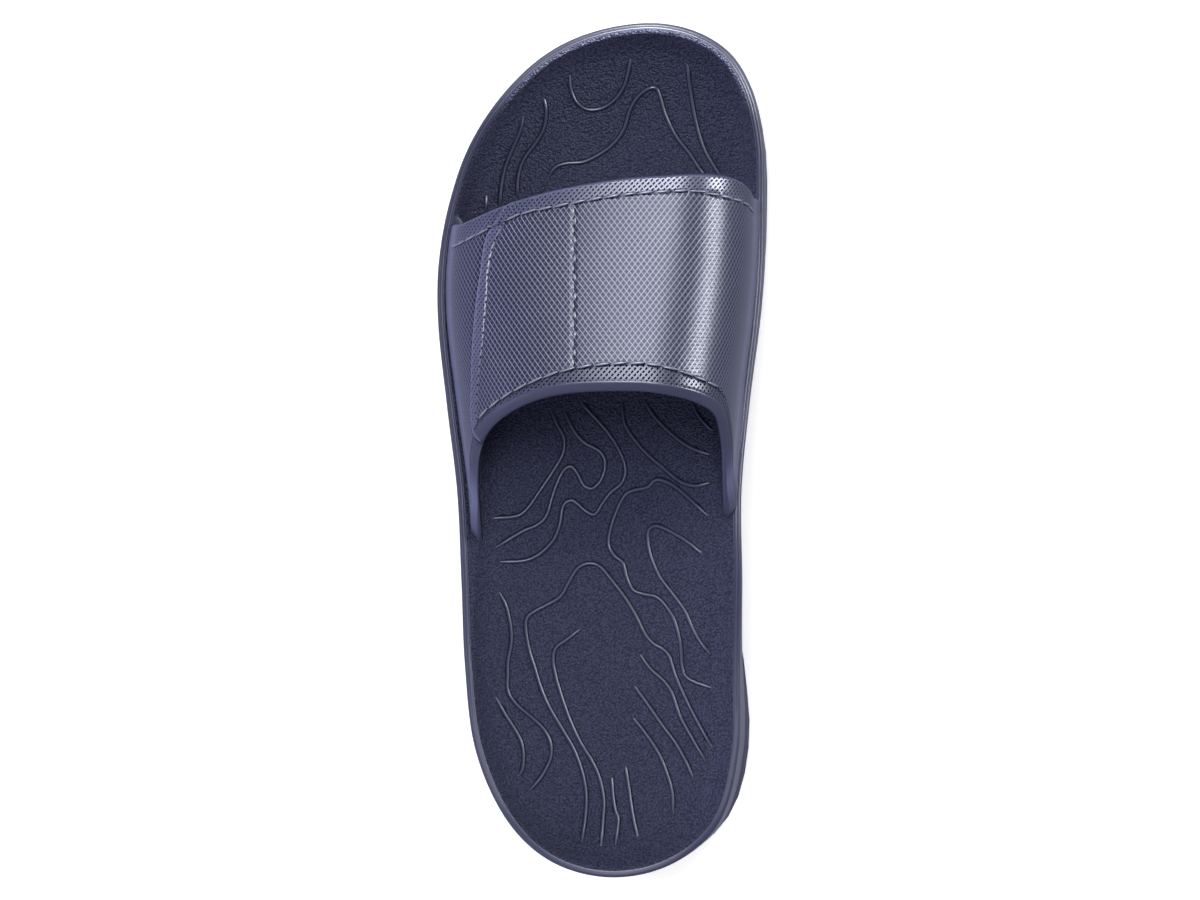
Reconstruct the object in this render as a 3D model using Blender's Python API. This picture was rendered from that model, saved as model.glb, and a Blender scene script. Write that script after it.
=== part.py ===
"""Slide sandal for the left foot: a tread layer, a cupped foam sole and one broad instep strap.

Metres, +Z up. +Y runs from heel to toe and +X points to the big toe. The sole stands on z = 0.
An angle round the sole is 0 at the heel tip, grows along the little-toe side, is pi at the toe
tip and comes back along the big-toe side. A share along the sole is 0 at the heel and 1 at the toe.
"""

import math

import bmesh
import bpy
from mathutils import Matrix, Vector

# Sizes that drive the sole
LENGTH = 0.296
BALL_WIDTH = 0.1145
HEEL_STACK = 0.030  # footbed above the ground in the middle of the heel
RIM_HEIGHT = 0.045  # rim above the ground profile, which the table gives as shares
TOE_SPRING = 0.017
ARCH_RISE = 0.0025
HEEL_BEVEL = 0.003
HEEL_DISH = 0.0045  # how much the footbed curls up at its edge in the heel
ARCH_SUPPORT = 0.006  # extra height of the footbed on the big-toe side of the waist
WAIST_TUCK = 0.0064  # how far the tread layer stays inside the rim at the waist
HEEL_FLARE = 0.0026  # how far it stands out past the rim at the heel, on the big-toe side
OUTER_FLARE = 0.35  # the same on the little-toe side, as a share of HEEL_FLARE
RIM_WIDTH = 0.0040
RIM_ROUND = 0.0016
CUP_RUN = 0.0085  # plan width of the cup's inner wall
OUTSOLE_THICKNESS = 0.007
CLEARANCE = 0.0003

# Ribs of the side wall
RIB_DEPTH = 0.0007
WALL_BELLY = 0.0006

# Sizes that drive the strap
STRAP_FRONT_HEIGHT = 0.046  # outer face of the crest above the footbed, at the front edge
INSTEP_HEIGHT = 0.059  # the same at the rear edge
STRAP_WALL = 0.0036
STRAP_INSET = 0.0040  # the strap's foot inside the rim's outline, which a table shares out
OVERLAY_STEP = 0.0009
EDGE_WALL = 0.0024  # the wall where it thins to its front and rear edges
EDGE_RUN = 0.006  # how far in from an edge the wall reaches its full thickness
SHOULDER = 2.35  # exponent of the section, over 2 for a squarer shoulder

# Sizes that drive the tread
PAD_HEIGHT = 0.0008
EDGE_BEVEL = 0.0016
PAD_CORNER = 0.0018  # cut off each pad's corners
FIELD_MARGIN = 0.0032
TROUGH_DEPTH = 0.0035
FLUTE_WIDTH = 0.0105
FLUTE_DEPTH = 0.0028
GROOVE_WIDTH = 0.0026
GROOVE_DEPTH = 0.0032
NOTCH_RADIUS = 0.0030
NOTCH_REACH = 0.0095
NOTCH_SHIFT = 0.0025
BOSS_RADIUS = 0.0070
BOSS_HEIGHT = 0.0018

# How finely the forms are cut into flat faces
SOLE_STEPS = 72  # points round the sole, an even number
STRAP_STEPS = 32  # columns over the foot
UNDER_STEPS = 4  # those of them under the overlay's step
STEP_ANGLE = 0.8  # degrees over the arch that the overlay's step takes up
FLUTE_SIDES = 20
BOSS_SIDES = 32
FIELD_STEPS = 8
TROUGH_STEPS = 12
TROUGH_TIP = 0.35  # how far the first station lies in from a trough's end, in steps
DEEP = 0.004  # how far a cutter or a joined lug runs past the face that it meets

# Plan of the rim. Columns: share of LENGTH, then little-toe side and big-toe side as
# shares of BALL_WIDTH from the middle line
PLAN = (
    (0.000, 0.042, 0.042),
    (0.020, -0.158, 0.242),
    (0.065, -0.282, 0.366),
    (0.150, -0.381, 0.425),
    (0.250, -0.414, 0.429),
    (0.350, -0.425, 0.434),
    (0.450, -0.438, 0.432),
    (0.550, -0.471, 0.454),
    (0.650, -0.500, 0.484),
    (0.720, -0.499, 0.497),
    (0.790, -0.467, 0.499),
    (0.860, -0.401, 0.495),
    (0.930, -0.272, 0.451),
    (0.975, -0.123, 0.363),
    (1.000, 0.147, 0.147),
)

# Heights over the ground profile. Columns: share of LENGTH, footbed as a share of HEEL_STACK,
# rim on the little-toe side and on the big-toe side as shares of RIM_HEIGHT
HEIGHTS = (
    (0.00, 0.92, 0.930, 0.930),
    (0.10, 1.00, 0.940, 0.940),
    (0.25, 1.03, 0.905, 0.940),
    (0.40, 1.00, 0.835, 0.955),
    (0.55, 0.90, 0.800, 0.870),
    (0.70, 0.79, 0.735, 0.750),
    (0.82, 0.73, 0.700, 0.705),
    (0.92, 0.66, 0.650, 0.650),
    (1.00, 0.58, 0.585, 0.585),
)

# Side form along the sole. Columns: share of LENGTH, tuck of the tread layer as a share of
# WAIST_TUCK, its flare as a share of HEEL_FLARE, footbed dish as a share of HEEL_DISH, arch
# as a share of ARCH_SUPPORT, and how much of the strap's seat widens the rim
SIDES = (
    (0.00, 0.00, 0.00, 1.00, 0.00, 0.00),
    (0.11, 0.00, 1.00, 1.00, 0.00, 0.00),
    (0.24, 0.10, 0.35, 0.80, 0.20, 0.00),
    (0.34, 0.75, 0.00, 0.60, 0.80, 0.35),
    (0.44, 1.00, 0.00, 0.45, 1.00, 1.00),
    (0.54, 0.75, 0.00, 0.35, 0.55, 1.00),
    (0.66, 0.20, 0.00, 0.25, 0.10, 1.00),
    (0.78, 0.00, 0.00, 0.25, 0.00, 1.00),
    (0.86, 0.00, 0.00, 0.35, 0.00, 0.15),
    (1.00, 0.00, 0.00, 0.60, 0.00, 0.00),
)

# Where the ground profile changes, as shares of LENGTH
HEEL_END = 0.06
WAIST_START = 0.25
WAIST_END = 0.58
TOE_START = 0.72

# Profile of the side wall. Columns: share of its height, share of its way out from the tread
# layer to the rim, and how far it stands proud as a share of RIB_DEPTH
WALL_PROFILE = (
    (0.00, 0.00, 0.0),
    (0.10, 0.05, 0.0),
    (0.12, 0.07, 1.0),
    (0.20, 0.14, 1.0),
    (0.22, 0.17, 0.0),
    (0.30, 0.27, 0.0),
    (0.32, 0.30, 1.0),
    (0.55, 0.75, 1.0),
    (0.80, 0.95, 1.0),
    (1.00, 1.00, 1.0),
)

# Inner wall of the cup. Columns: share of CUP_RUN, share of the drop from rim to footbed
CUP_PROFILE = (
    (0.12, 0.16),
    (0.48, 0.72),
    (1.00, 1.00),
)
RIM_CORNER = 0.3  # how much of RIM_ROUND the rim's outer corner keeps in its middle

# Footbed. Shares of its half width where rings of points lie, and how long its middle line is
# as a share of the way between both ends
FOOTBED_RINGS = (0.72, 0.38)
SPINE_SHARE = 0.78

# Edges of the strap over the foot. Columns: angle over the arch in degrees, 0 at the foot on
# the little-toe side and 180 on the big-toe side, then front edge and rear edge as shares of
# LENGTH, and the crest's height between front and rear is worked out from the sizes above
STRAP_EDGES = (
    (0, 0.764, 0.395),
    (14, 0.762, 0.467),
    (27, 0.767, 0.507),
    (46, 0.783, 0.541),
    (66, 0.800, 0.563),
    (86, 0.812, 0.569),
    (108, 0.815, 0.564),
    (128, 0.814, 0.555),
    (146, 0.809, 0.540),
    (158, 0.803, 0.511),
    (168, 0.795, 0.475),
    (180, 0.792, 0.424),
)

# Across the strap: share from front edge to rear edge, angle of the overlay's step in degrees
OVERLAY = (
    (0.00, 46),
    (0.12, 39.5),
    (0.30, 38),
    (0.45, 36),
    (0.60, 33.5),
    (0.75, 30.5),
    (0.88, 27.5),
    (1.00, 28),
)

# Feet of the strap on the rim. Columns: share of LENGTH, then inset on the little-toe side and
# on the big-toe side as shares of STRAP_INSET
STRAP_FEET = (
    (0.40, 1.28, 0.80),
    (0.50, 1.20, 0.78),
    (0.60, 1.10, 0.95),
    (0.80, 0.90, 0.80),
)

# Crest of the strap: share of LENGTH, share of the way from the little-toe foot of the strap
CREST = (
    (0.40, 0.62),
    (0.57, 0.65),
    (0.70, 0.69),
    (0.82, 0.71),
)

# Rows of the strap between its edges, as shares from the front edge to the rear edge
STRAP_ROWS = (0.16, 0.33, 0.50, 0.67, 0.84)
STRAP_SPAN = 0.24  # length of the strap in its middle, as a share of LENGTH

# How the strap's wall thins towards an edge. Columns: share of EDGE_RUN, share of the taper left
EDGE_TAPER = (
    (0.00, 1.00),
    (0.25, 0.45),
    (1.00, 0.00),
)

# Fields of raised tread at heel and toe, from one share of LENGTH to another
HEEL_FIELD = (0.016, 0.239)
TOE_FIELD = (0.872, 0.984)

# Cross rows of the tread. Columns: share of LENGTH at the middle line, slant as a rise per run
FLUTES = ((0.872, 0.075), (0.650, 0.090), (0.442, 0.045), (0.239, 0.100))
GROOVES = ((0.769, 0.144), (0.545, 0.157), (0.347, 0.144))
CROSS_REACH = 0.62  # half length of the cross cutters, as a share of BALL_WIDTH

# Rows of pads. Columns: share of LENGTH at the middle line, slant, pad length as a share of
# BALL_WIDTH, and the pads' ends across the sole as shares of BALL_WIDTH
PAD_ROWS = (
    (0.825, 0.138, 0.078, ((0.375, 0.490), (0.232, 0.350), (-0.205, -0.050), (-0.385, -0.225))),
    (0.701, 0.153, 0.120, ((0.362, 0.485), (0.205, 0.340), (-0.225, -0.048), (-0.410, -0.245))),
    (0.606, 0.164, 0.100, ((0.315, 0.445), (0.165, 0.295), (-0.225, -0.100), (-0.375, -0.245))),
    (0.488, 0.133, 0.088, ((0.195, 0.340), (-0.285, -0.100))),
    (0.399, 0.130, 0.078, ((0.172, 0.340), (-0.300, -0.130))),
    (0.288, 0.152, 0.082, ((0.155, 0.365), (-0.350, -0.125))),
)

# Lengthwise troughs. Columns: share of LENGTH at the rear and at the front, middle as a share
# of BALL_WIDTH at the rear and at the front, half width at the rear and at the front likewise
TROUGHS = (
    (0.706, 0.935, 0.075, 0.110, 0.066, 0.090),
    (0.489, 0.611, 0.038, 0.038, 0.080, 0.080),
    (0.268, 0.412, 0.013, 0.016, 0.092, 0.090),
    (0.095, 0.236, 0.010, 0.012, 0.090, 0.092),
)
BOSS_AT = (0.317, 0.016)  # share of LENGTH, share of BALL_WIDTH

# Colours of the foam, linear values
NAVY = (0.040, 0.042, 0.085, 1.0)
NAVY_DARK = (0.034, 0.036, 0.074, 1.0)


def clear_scene():
    for old in list(bpy.data.objects):
        bpy.data.objects.remove(old, do_unlink=True)


def collection(name, rendered=True):
    made = bpy.data.collections.new(name)
    made.hide_render = not rendered
    bpy.context.scene.collection.children.link(made)
    return made


def finish(name, colour, roughness):
    made = bpy.data.materials.new(name)
    made.use_nodes = True
    shader = made.node_tree.nodes["Principled BSDF"]
    shader.inputs["Base Color"].default_value = colour
    shader.inputs["Roughness"].default_value = roughness
    shader.inputs["Metallic"].default_value = 0.0
    return made


def follow(knots, values, at):
    """A smooth curve through the values, with its slope at each knot taken from both neighbours."""
    last = len(knots) - 1
    at = min(max(at, knots[0]), knots[last])
    left = 0
    while left < last - 1 and at > knots[left + 1]:
        left += 1

    def slope(i):
        before, after = max(i - 1, 0), min(i + 1, last)
        return (values[after] - values[before]) / (knots[after] - knots[before])

    step = knots[left + 1] - knots[left]
    u = (at - knots[left]) / step
    a, b = values[left], values[left + 1]
    rise_a, rise_b = slope(left) * step, slope(left + 1) * step
    return (
        a * (1 - 3 * u**2 + 2 * u**3)
        + b * (3 * u**2 - 2 * u**3)
        + rise_a * (u - 2 * u**2 + u**3)
        + rise_b * (u**3 - u**2)
    )


def column(table, number, at):
    return follow([row[0] for row in table], [row[number] for row in table], at)


def turn_at(share):
    """The angle round the sole, on the little-toe side, of a share along it."""
    return math.acos(1 - 2 * min(max(share, 0.0), 1.0))


def share_at(y):
    return min(max(y / LENGTH + 0.5, 0.0), 1.0)


# The outline as one closed run: up the little-toe side, back down the other, with two rows
# more past each end so that the curve closes smoothly
RUN = [(turn_at(row[0]), row[1]) for row in PLAN] + [
    (2 * math.pi - turn_at(row[0]), row[2]) for row in reversed(PLAN[:-1])
]
RUN = (
    [(turn - 2 * math.pi, x) for turn, x in RUN[-3:-1]]
    + RUN
    + [(turn + 2 * math.pi, x) for turn, x in RUN[1:3]]
)
RUN_TURNS = [turn for turn, x in RUN]
RUN_REACH = [x for turn, x in RUN]


def rim_point(turn):
    return Vector((
        BALL_WIDTH * follow(RUN_TURNS, RUN_REACH, turn),
        -LENGTH / 2 * math.cos(turn),
    ))


def plan_point(turn, inset):
    """A point of the rim's outline moved inward along the outline's normal."""
    small = 0.01
    ahead = rim_point(turn + small) - rim_point(turn - small)
    inward = Vector((ahead.y, -ahead.x)).normalized()
    return rim_point(turn) + inset * inward


def side_turn(share, side):
    """The angle round the sole of a share on one side: -1 for the little toe, 1 for the big toe."""
    turn = turn_at(share)
    return turn if side < 0 else 2 * math.pi - turn


def side_x(share, side, inset=0.0):
    """Where the outline lies across the sole on one side."""
    return rim_point(side_turn(share, side)).x - side * inset


def ground(y):
    """The profile that the tread follows: heel bevel, raised waist and toe spring."""
    share = share_at(y)
    if share < HEEL_END:
        return HEEL_BEVEL * (1 - share / HEEL_END) ** 2
    if WAIST_START < share < WAIST_END:
        return ARCH_RISE * math.sin(math.pi * (share - WAIST_START) / (WAIST_END - WAIST_START)) ** 2
    if share > TOE_START:
        return TOE_SPRING * ((share - TOE_START) / (1 - TOE_START)) ** 2
    return 0.0


def rim_height(y, turn):
    """Height of the rim. The two sides blend into each other round the toe and the heel."""
    share = share_at(y)
    low, high = column(HEIGHTS, 2, share), column(HEIGHTS, 3, share)
    return ground(y) + RIM_HEIGHT * (low + (high - low) * big_toe_part(turn))


def footbed_height(y, across):
    """Height of the footbed. Across is -1 at its little-toe edge and 1 at its big-toe edge."""
    share = share_at(y)
    dish = HEEL_DISH * column(SIDES, 3, share)
    arch = ARCH_SUPPORT * column(SIDES, 4, share) * max(across, 0.0) ** 2
    return ground(y) + HEEL_STACK * column(HEIGHTS, 1, share) + dish * across**2 + arch


def strap_inset(share, side):
    """How far the strap's foot stands inside the outline. Side is -1 or 1, as in side_x."""
    return STRAP_INSET * column(STRAP_FEET, 1 if side < 0 else 2, share)


def big_toe_part(turn):
    """0 on the little-toe side, 1 on the big-toe side, half at both tips."""
    return 0.5 - 0.5 * math.sin(turn)


def tread_inset(share, turn):
    """How far the tread layer's edge lies inside the rim's outline, less than 0 where it flares."""
    flare = HEEL_FLARE * (OUTER_FLARE + (1 - OUTER_FLARE) * big_toe_part(turn))
    return WAIST_TUCK * column(SIDES, 1, share) - flare * column(SIDES, 2, share)


def seat_inset(share, turn):
    """The inner edge of the rim, which widens to carry the strap."""
    low, high = strap_inset(share, -1), strap_inset(share, 1)
    seat = low + (high - low) * big_toe_part(turn) + STRAP_WALL + CLEARANCE
    return RIM_WIDTH + (seat - RIM_WIDTH) * column(SIDES, 5, share)


def turns():
    return [2 * math.pi * i / SOLE_STEPS for i in range(SOLE_STEPS)]


def ring(inset, height):
    """Points round the sole. Inset takes the share along it and the angle, height y and the angle."""
    points = []
    for turn in turns():
        share = share_at(rim_point(turn).y)
        flat = plan_point(turn, inset(share, turn))
        points.append(Vector((flat.x, flat.y, height(flat.y, turn))))
    return points


def add_ring(mesh, points):
    return [mesh.verts.new(point) for point in points]


def bridge(mesh, lower, upper):
    count = len(lower)
    for i in range(count):
        j = (i + 1) % count
        mesh.faces.new((lower[i], lower[j], upper[j], upper[i]))


def cap(mesh, points):
    """Closes a ring round the sole with straight strips from side to side."""
    count = len(points)
    half = count // 2
    mesh.faces.new((points[0], points[1], points[count - 1]))
    mesh.faces.new((points[half], points[half - 1], points[half + 1]))
    for i in range(1, half - 1):
        mesh.faces.new((points[i], points[i + 1], points[count - i - 1], points[count - i]))


def place(name, mesh, home, material=None, cutter=False):
    """Makes an object of flat triangles, because the cuts go wrong on faces that are bent."""
    bmesh.ops.recalc_face_normals(mesh, faces=mesh.faces)
    bmesh.ops.triangulate(mesh, faces=mesh.faces)
    data = bpy.data.meshes.new(name)
    mesh.to_mesh(data)
    mesh.free()
    data.shade_smooth()
    data.set_sharp_from_angle(angle=math.radians(40))
    made = bpy.data.objects.new(name, data)
    home.objects.link(made)
    if material:
        data.materials.append(material)
    if cutter:
        made.hide_render = True
        made.display_type = "WIRE"
    return made


def slab(mesh, stations, low, high):
    """A ruled block. Each station holds its left and right point in plan, low and high give z."""
    rows = []
    for left, right in stations:
        rows.append([
            mesh.verts.new((point[0], point[1], level(point[1])))
            for level in (low, high)
            for point in (left, right)
        ])
    for near, far in zip(rows, rows[1:]):
        for a, b in ((0, 1), (1, 3), (3, 2), (2, 0)):
            mesh.faces.new((near[a], near[b], far[b], far[a]))
    for end in (rows[0], rows[-1]):
        mesh.faces.new((end[0], end[1], end[3], end[2]))


def boolean(target, name, operation, operand):
    modifier = target.modifiers.new(name, "BOOLEAN")
    modifier.operation = operation
    modifier.solver = "EXACT"
    modifier.object = operand


def pads(mesh):
    """Raised pads with cut corners, in slanted rows."""
    for share, slant, length, ends in PAD_ROWS:
        middle = (share - 0.5) * LENGTH
        half = length * BALL_WIDTH / 2
        for low_end, high_end in ends:
            left, right = low_end * BALL_WIDTH, high_end * BALL_WIDTH
            stations = []
            inside = half - PAD_CORNER
            for along, cut in ((-half, PAD_CORNER), (-inside, 0), (inside, 0), (half, PAD_CORNER)):
                a, b = left + cut, right - cut
                stations.append((
                    (a, middle + along + slant * a),
                    (b, middle + along + slant * b),
                ))
            slab(mesh, stations, ground, lambda y: ground(y) + PAD_HEIGHT + EDGE_BEVEL)


def field(mesh, rear, front):
    """A raised stretch of tread from side to side, between two shares along the sole."""
    stations = []
    for i in range(FIELD_STEPS + 1):
        share = rear + (front - rear) * (0.5 - 0.5 * math.cos(math.pi * i / FIELD_STEPS))
        around = [side_turn(share, side) for side in (-1, 1)]
        stations.append([plan_point(at, tread_inset(share, at) + FIELD_MARGIN) for at in around])
    slab(mesh, stations, ground, lambda y: ground(y) + PAD_HEIGHT + EDGE_BEVEL)


def trough(mesh, rear, front, middle_rear, middle_front, half_rear, half_front):
    """A channel along the sole with round ends."""
    stations = []
    start, stop = (rear - 0.5) * LENGTH, (front - 0.5) * LENGTH
    for i in range(TROUGH_STEPS + 1):
        u = 0.5 - 0.5 * math.cos(math.pi * (i + TROUGH_TIP) / (TROUGH_STEPS + 2 * TROUGH_TIP))
        y = start + (stop - start) * u
        half = BALL_WIDTH * (half_rear + (half_front - half_rear) * u)
        middle = BALL_WIDTH * (middle_rear + (middle_front - middle_rear) * u)
        to_end = min(y - start, stop - y)
        if to_end < half:
            half = math.sqrt(max(half**2 - (half - to_end) ** 2, 0.0))
        stations.append(((middle - half, y), (middle + half, y)))
    slab(mesh, stations, lambda y: ground(y) - DEEP, lambda y: ground(y) + TROUGH_DEPTH)


def cross_line(share, slant, x, lift):
    """A point of a cross row, lifted over the ground profile there."""
    y = (share - 0.5) * LENGTH + slant * x
    return Vector((x, y, ground(y) + lift))


def rod(mesh, start, stop, radius):
    """A round bar between two points."""
    along = stop - start
    turned = along.to_track_quat("Z", "Y").to_matrix().to_4x4()
    bmesh.ops.create_cone(
        mesh, cap_ends=True, segments=FLUTE_SIDES, radius1=radius, radius2=radius,
        depth=along.length, matrix=Matrix.Translation((start + stop) / 2) @ turned,
    )


def beam(mesh, start, stop, width, height):
    """A square bar whose top face carries the line between two points."""
    along = stop - start
    sideways = Vector((0, 0, 1)).cross(along).normalized()
    upward = along.cross(sideways).normalized()
    turned = Matrix((along.normalized(), sideways, upward)).transposed().to_4x4()
    middle = (start + stop) / 2 - upward * height / 2
    sized = Matrix.Diagonal((along.length, width, height, 1))
    bmesh.ops.create_cube(mesh, size=1, matrix=Matrix.Translation(middle) @ turned @ sized)


def flutes_and_notches(home):
    """Broad round channels across the tread, each with a notch at both of its ends."""
    radius = FLUTE_WIDTH**2 / (8 * FLUTE_DEPTH) + FLUTE_DEPTH / 2
    reach = CROSS_REACH * BALL_WIDTH
    made = []
    for number, (share, slant) in enumerate(FLUTES):
        mesh = bmesh.new()
        lift = FLUTE_DEPTH - radius
        rod(mesh, cross_line(share, slant, -reach, lift), cross_line(share, slant, reach, lift), radius)
        made.append(place(f"flute_{number}", mesh, home, cutter=True))
        for side, label in ((-1, "outer"), (1, "inner")):
            mesh = bmesh.new()
            edge = side_x(share, side, tread_inset(share, side_turn(share, side)))
            moved = share + side * NOTCH_SHIFT / LENGTH
            start = cross_line(moved, slant, edge - side * NOTCH_REACH, NOTCH_RADIUS / 2)
            stop = cross_line(moved, slant, edge + side * NOTCH_REACH, NOTCH_RADIUS / 2)
            rod(mesh, start, stop, NOTCH_RADIUS)
            made.append(place(f"notch_{label}_{number}", mesh, home, cutter=True))
    return made


def grooves(home):
    reach = CROSS_REACH * BALL_WIDTH
    made = []
    for number, (share, slant) in enumerate(GROOVES):
        mesh = bmesh.new()
        start = cross_line(share, slant, -reach, GROOVE_DEPTH)
        stop = cross_line(share, slant, reach, GROOVE_DEPTH)
        beam(mesh, start, stop, GROOVE_WIDTH, GROOVE_DEPTH + DEEP)
        made.append(place(f"groove_{number}", mesh, home, cutter=True))
    return made


def outsole(home, helpers):
    """The tread layer: a plate that follows the ground profile, with lugs joined and channels cut."""
    mesh = bmesh.new()
    floor = add_ring(mesh, ring(
        lambda share, turn: tread_inset(share, turn) + EDGE_BEVEL,
        lambda y, turn: ground(y) + PAD_HEIGHT,
    ))
    bevel = add_ring(mesh, ring(
        tread_inset, lambda y, turn: ground(y) + PAD_HEIGHT + EDGE_BEVEL,
    ))
    top = add_ring(mesh, ring(tread_inset, lambda y, turn: ground(y) + OUTSOLE_THICKNESS))
    cap(mesh, floor)
    bridge(mesh, floor, bevel)
    bridge(mesh, bevel, top)
    cap(mesh, top)
    sole = place("outsole", mesh, home, finish("outsole_foam", NAVY_DARK, 0.75))

    mesh = bmesh.new()
    pads(mesh)
    field(mesh, *HEEL_FIELD)
    field(mesh, *TOE_FIELD)
    boolean(sole, "lugs", "UNION", place("lugs", mesh, helpers, cutter=True))
    mesh = bmesh.new()
    for row in TROUGHS:
        trough(mesh, *row)
    boolean(sole, "troughs", "DIFFERENCE", place("troughs", mesh, helpers, cutter=True))
    for cutter in flutes_and_notches(helpers) + grooves(helpers):
        boolean(sole, cutter.name, "DIFFERENCE", cutter)

    mesh = bmesh.new()
    y = (BOSS_AT[0] - 0.5) * LENGTH
    base = ground(y) + TROUGH_DEPTH - BOSS_HEIGHT
    height = BOSS_HEIGHT + DEEP / 2
    bmesh.ops.create_cone(
        mesh, cap_ends=True, segments=BOSS_SIDES, radius1=BOSS_RADIUS, radius2=BOSS_RADIUS, depth=height,
        matrix=Matrix.Translation((BOSS_AT[1] * BALL_WIDTH, y, base + height / 2)),
    )
    boolean(sole, "boss", "UNION", place("boss", mesh, helpers, cutter=True))
    return sole


def midsole(home):
    """The foam body: ribbed side wall, rim, cup and footbed."""
    mesh = bmesh.new()
    join = OUTSOLE_THICKNESS + CLEARANCE

    def wall_ring(rise, out, proud):
        def inset(share, turn):
            belly = WALL_BELLY * (1 - math.sin(math.pi * rise))
            return tread_inset(share, turn) * (1 - out) + RIB_DEPTH * (1 - proud) + belly

        def height(y, turn):
            low = ground(y) + join
            return low + (rim_height(y, turn) - RIM_ROUND - low) * rise

        return add_ring(mesh, ring(inset, height))

    rings = [wall_ring(*row) for row in WALL_PROFILE]
    rings.append(add_ring(mesh, ring(
        lambda share, turn: WALL_BELLY + RIM_CORNER * RIM_ROUND,
        lambda y, turn: rim_height(y, turn) - RIM_CORNER * RIM_ROUND,
    )))
    rings.append(add_ring(mesh, ring(
        lambda share, turn: WALL_BELLY + RIM_ROUND, rim_height,
    )))
    rings.append(add_ring(mesh, ring(seat_inset, rim_height)))

    def cup_ring(run, drop):
        """A ring of the cup's inner wall, from the rim down to the footbed's edge."""
        def height(y, turn):
            edge = footbed_height(y, math.copysign(1.0, -math.sin(turn)))
            return edge + (rim_height(y, turn) - edge) * (1 - drop)

        return add_ring(mesh, ring(
            lambda share, turn: seat_inset(share, turn) + CUP_RUN * run, height,
        ))

    rings += [cup_ring(*row) for row in CUP_PROFILE]
    cap(mesh, rings[0])
    for lower, upper in zip(rings, rings[1:]):
        bridge(mesh, lower, upper)
    footbed(mesh, rings[-1])
    return place("midsole", mesh, home, finish("midsole_foam", NAVY, 0.70))


def footbed(mesh, edge):
    """Fills the footbed from its edge to a middle line that stops short of both ends."""
    count = len(edge)
    half = count // 2
    rings = [edge]
    for across in FOOTBED_RINGS:
        inner = []
        for i, vertex in enumerate(edge):
            other = edge[(count - i) % count]
            middle = (vertex.co + other.co) / 2
            home = Vector((middle.x, middle.y * SPINE_SHARE, 0))
            flat = home.lerp(vertex.co, across)
            side = across * math.copysign(1, vertex.co.x - home.x) if 0 < i % half else across
            inner.append(mesh.verts.new((flat.x, flat.y, footbed_height(flat.y, side))))
        bridge(mesh, rings[-1], inner)
        rings.append(inner)
    spine = []
    for i in range(half + 1):
        middle = (edge[i].co + edge[(count - i) % count].co) / 2
        y = middle.y * SPINE_SHARE
        spine.append(mesh.verts.new((middle.x, y, footbed_height(y, 0))))
    inner = rings[-1]
    for i in range(count):
        j = (i + 1) % count
        a = spine[i if i <= half else count - i]
        b = spine[j if j <= half else count - j]
        mesh.faces.new((inner[i], inner[j], b, a))


def strap_point(degrees, share, depth):
    """A point of the strap's arch at a share along the sole, at a depth under its outer face."""
    y = (share - 0.5) * LENGTH
    left = side_x(share, -1, strap_inset(share, -1))
    right = side_x(share, 1, strap_inset(share, 1))
    crest_x = left + (right - left) * column(CREST, 1, share)
    front, rear = STRAP_EDGES[6][1], STRAP_EDGES[5][2]
    height = STRAP_FRONT_HEIGHT + (INSTEP_HEIGHT - STRAP_FRONT_HEIGHT) * (front - share) / (front - rear)
    crest_z = footbed_height(y, 0) + height
    cosine, sine = math.cos(math.radians(degrees)), math.sin(math.radians(degrees))
    side = -1 if cosine > 0 else 1
    reach = (crest_x - left if side < 0 else right - crest_x) - depth
    foot = rim_height(y, side_turn(share, side)) + CLEARANCE
    power = 2 / SHOULDER
    x = crest_x + side * reach * abs(cosine) ** power
    z = foot + (crest_z - depth - foot) * abs(sine) ** power
    return Vector((x, y, z))


def strap_rows():
    """Rows from front to rear: share between the edges, and how much of the edge's taper is left."""
    run = EDGE_RUN / (STRAP_SPAN * LENGTH)
    near = [(run * share, taper) for share, taper in EDGE_TAPER]
    middle = [(share, 0.0) for share in STRAP_ROWS]
    return near + middle + [(1 - share, taper) for share, taper in reversed(near)]


def strap_columns(across):
    """Angles over the arch, with two columns close together at the overlay's step."""
    step = column(OVERLAY, 1, across)
    angles = [(step * i / UNDER_STEPS, OVERLAY_STEP) for i in range(UNDER_STEPS + 1)]
    over, start = STRAP_STEPS - UNDER_STEPS, step + STEP_ANGLE
    return angles + [(start + (180 - start) * i / over, 0.0) for i in range(over + 1)]


def upper(home):
    """The strap: an outer and an inner face over the foot, joined round their edges."""
    mesh = bmesh.new()
    outer, inner = [], []
    for across, taper in strap_rows():
        line_out, line_in = [], []
        for degrees, under in strap_columns(across):
            front = column(STRAP_EDGES, 1, degrees)
            rear = column(STRAP_EDGES, 2, degrees)
            share = front + (rear - front) * across
            depth = max(taper * (STRAP_WALL - EDGE_WALL), under)
            line_out.append(mesh.verts.new(strap_point(degrees, share, depth)))
            line_in.append(mesh.verts.new(strap_point(degrees, share, STRAP_WALL)))
        outer.append(line_out)
        inner.append(line_in)
    for face in (outer, inner):
        for near, far in zip(face, face[1:]):
            for i in range(len(near) - 1):
                mesh.faces.new((near[i], near[i + 1], far[i + 1], far[i]))
    for line in (0, -1):
        for i in range(len(outer[0]) - 1):
            mesh.faces.new((outer[line][i], outer[line][i + 1], inner[line][i + 1], inner[line][i]))
    for end in (0, -1):
        for near in range(len(outer) - 1):
            far = near + 1
            mesh.faces.new((outer[near][end], outer[far][end], inner[far][end], inner[near][end]))
    return place("upper", mesh, home, finish("upper_foam", NAVY, 0.65))


def main():
    clear_scene()
    home = collection("slide_sandal")
    helpers = collection("cutters", rendered=False)
    outsole(home, helpers)
    midsole(home)
    upper(home)


main()
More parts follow.
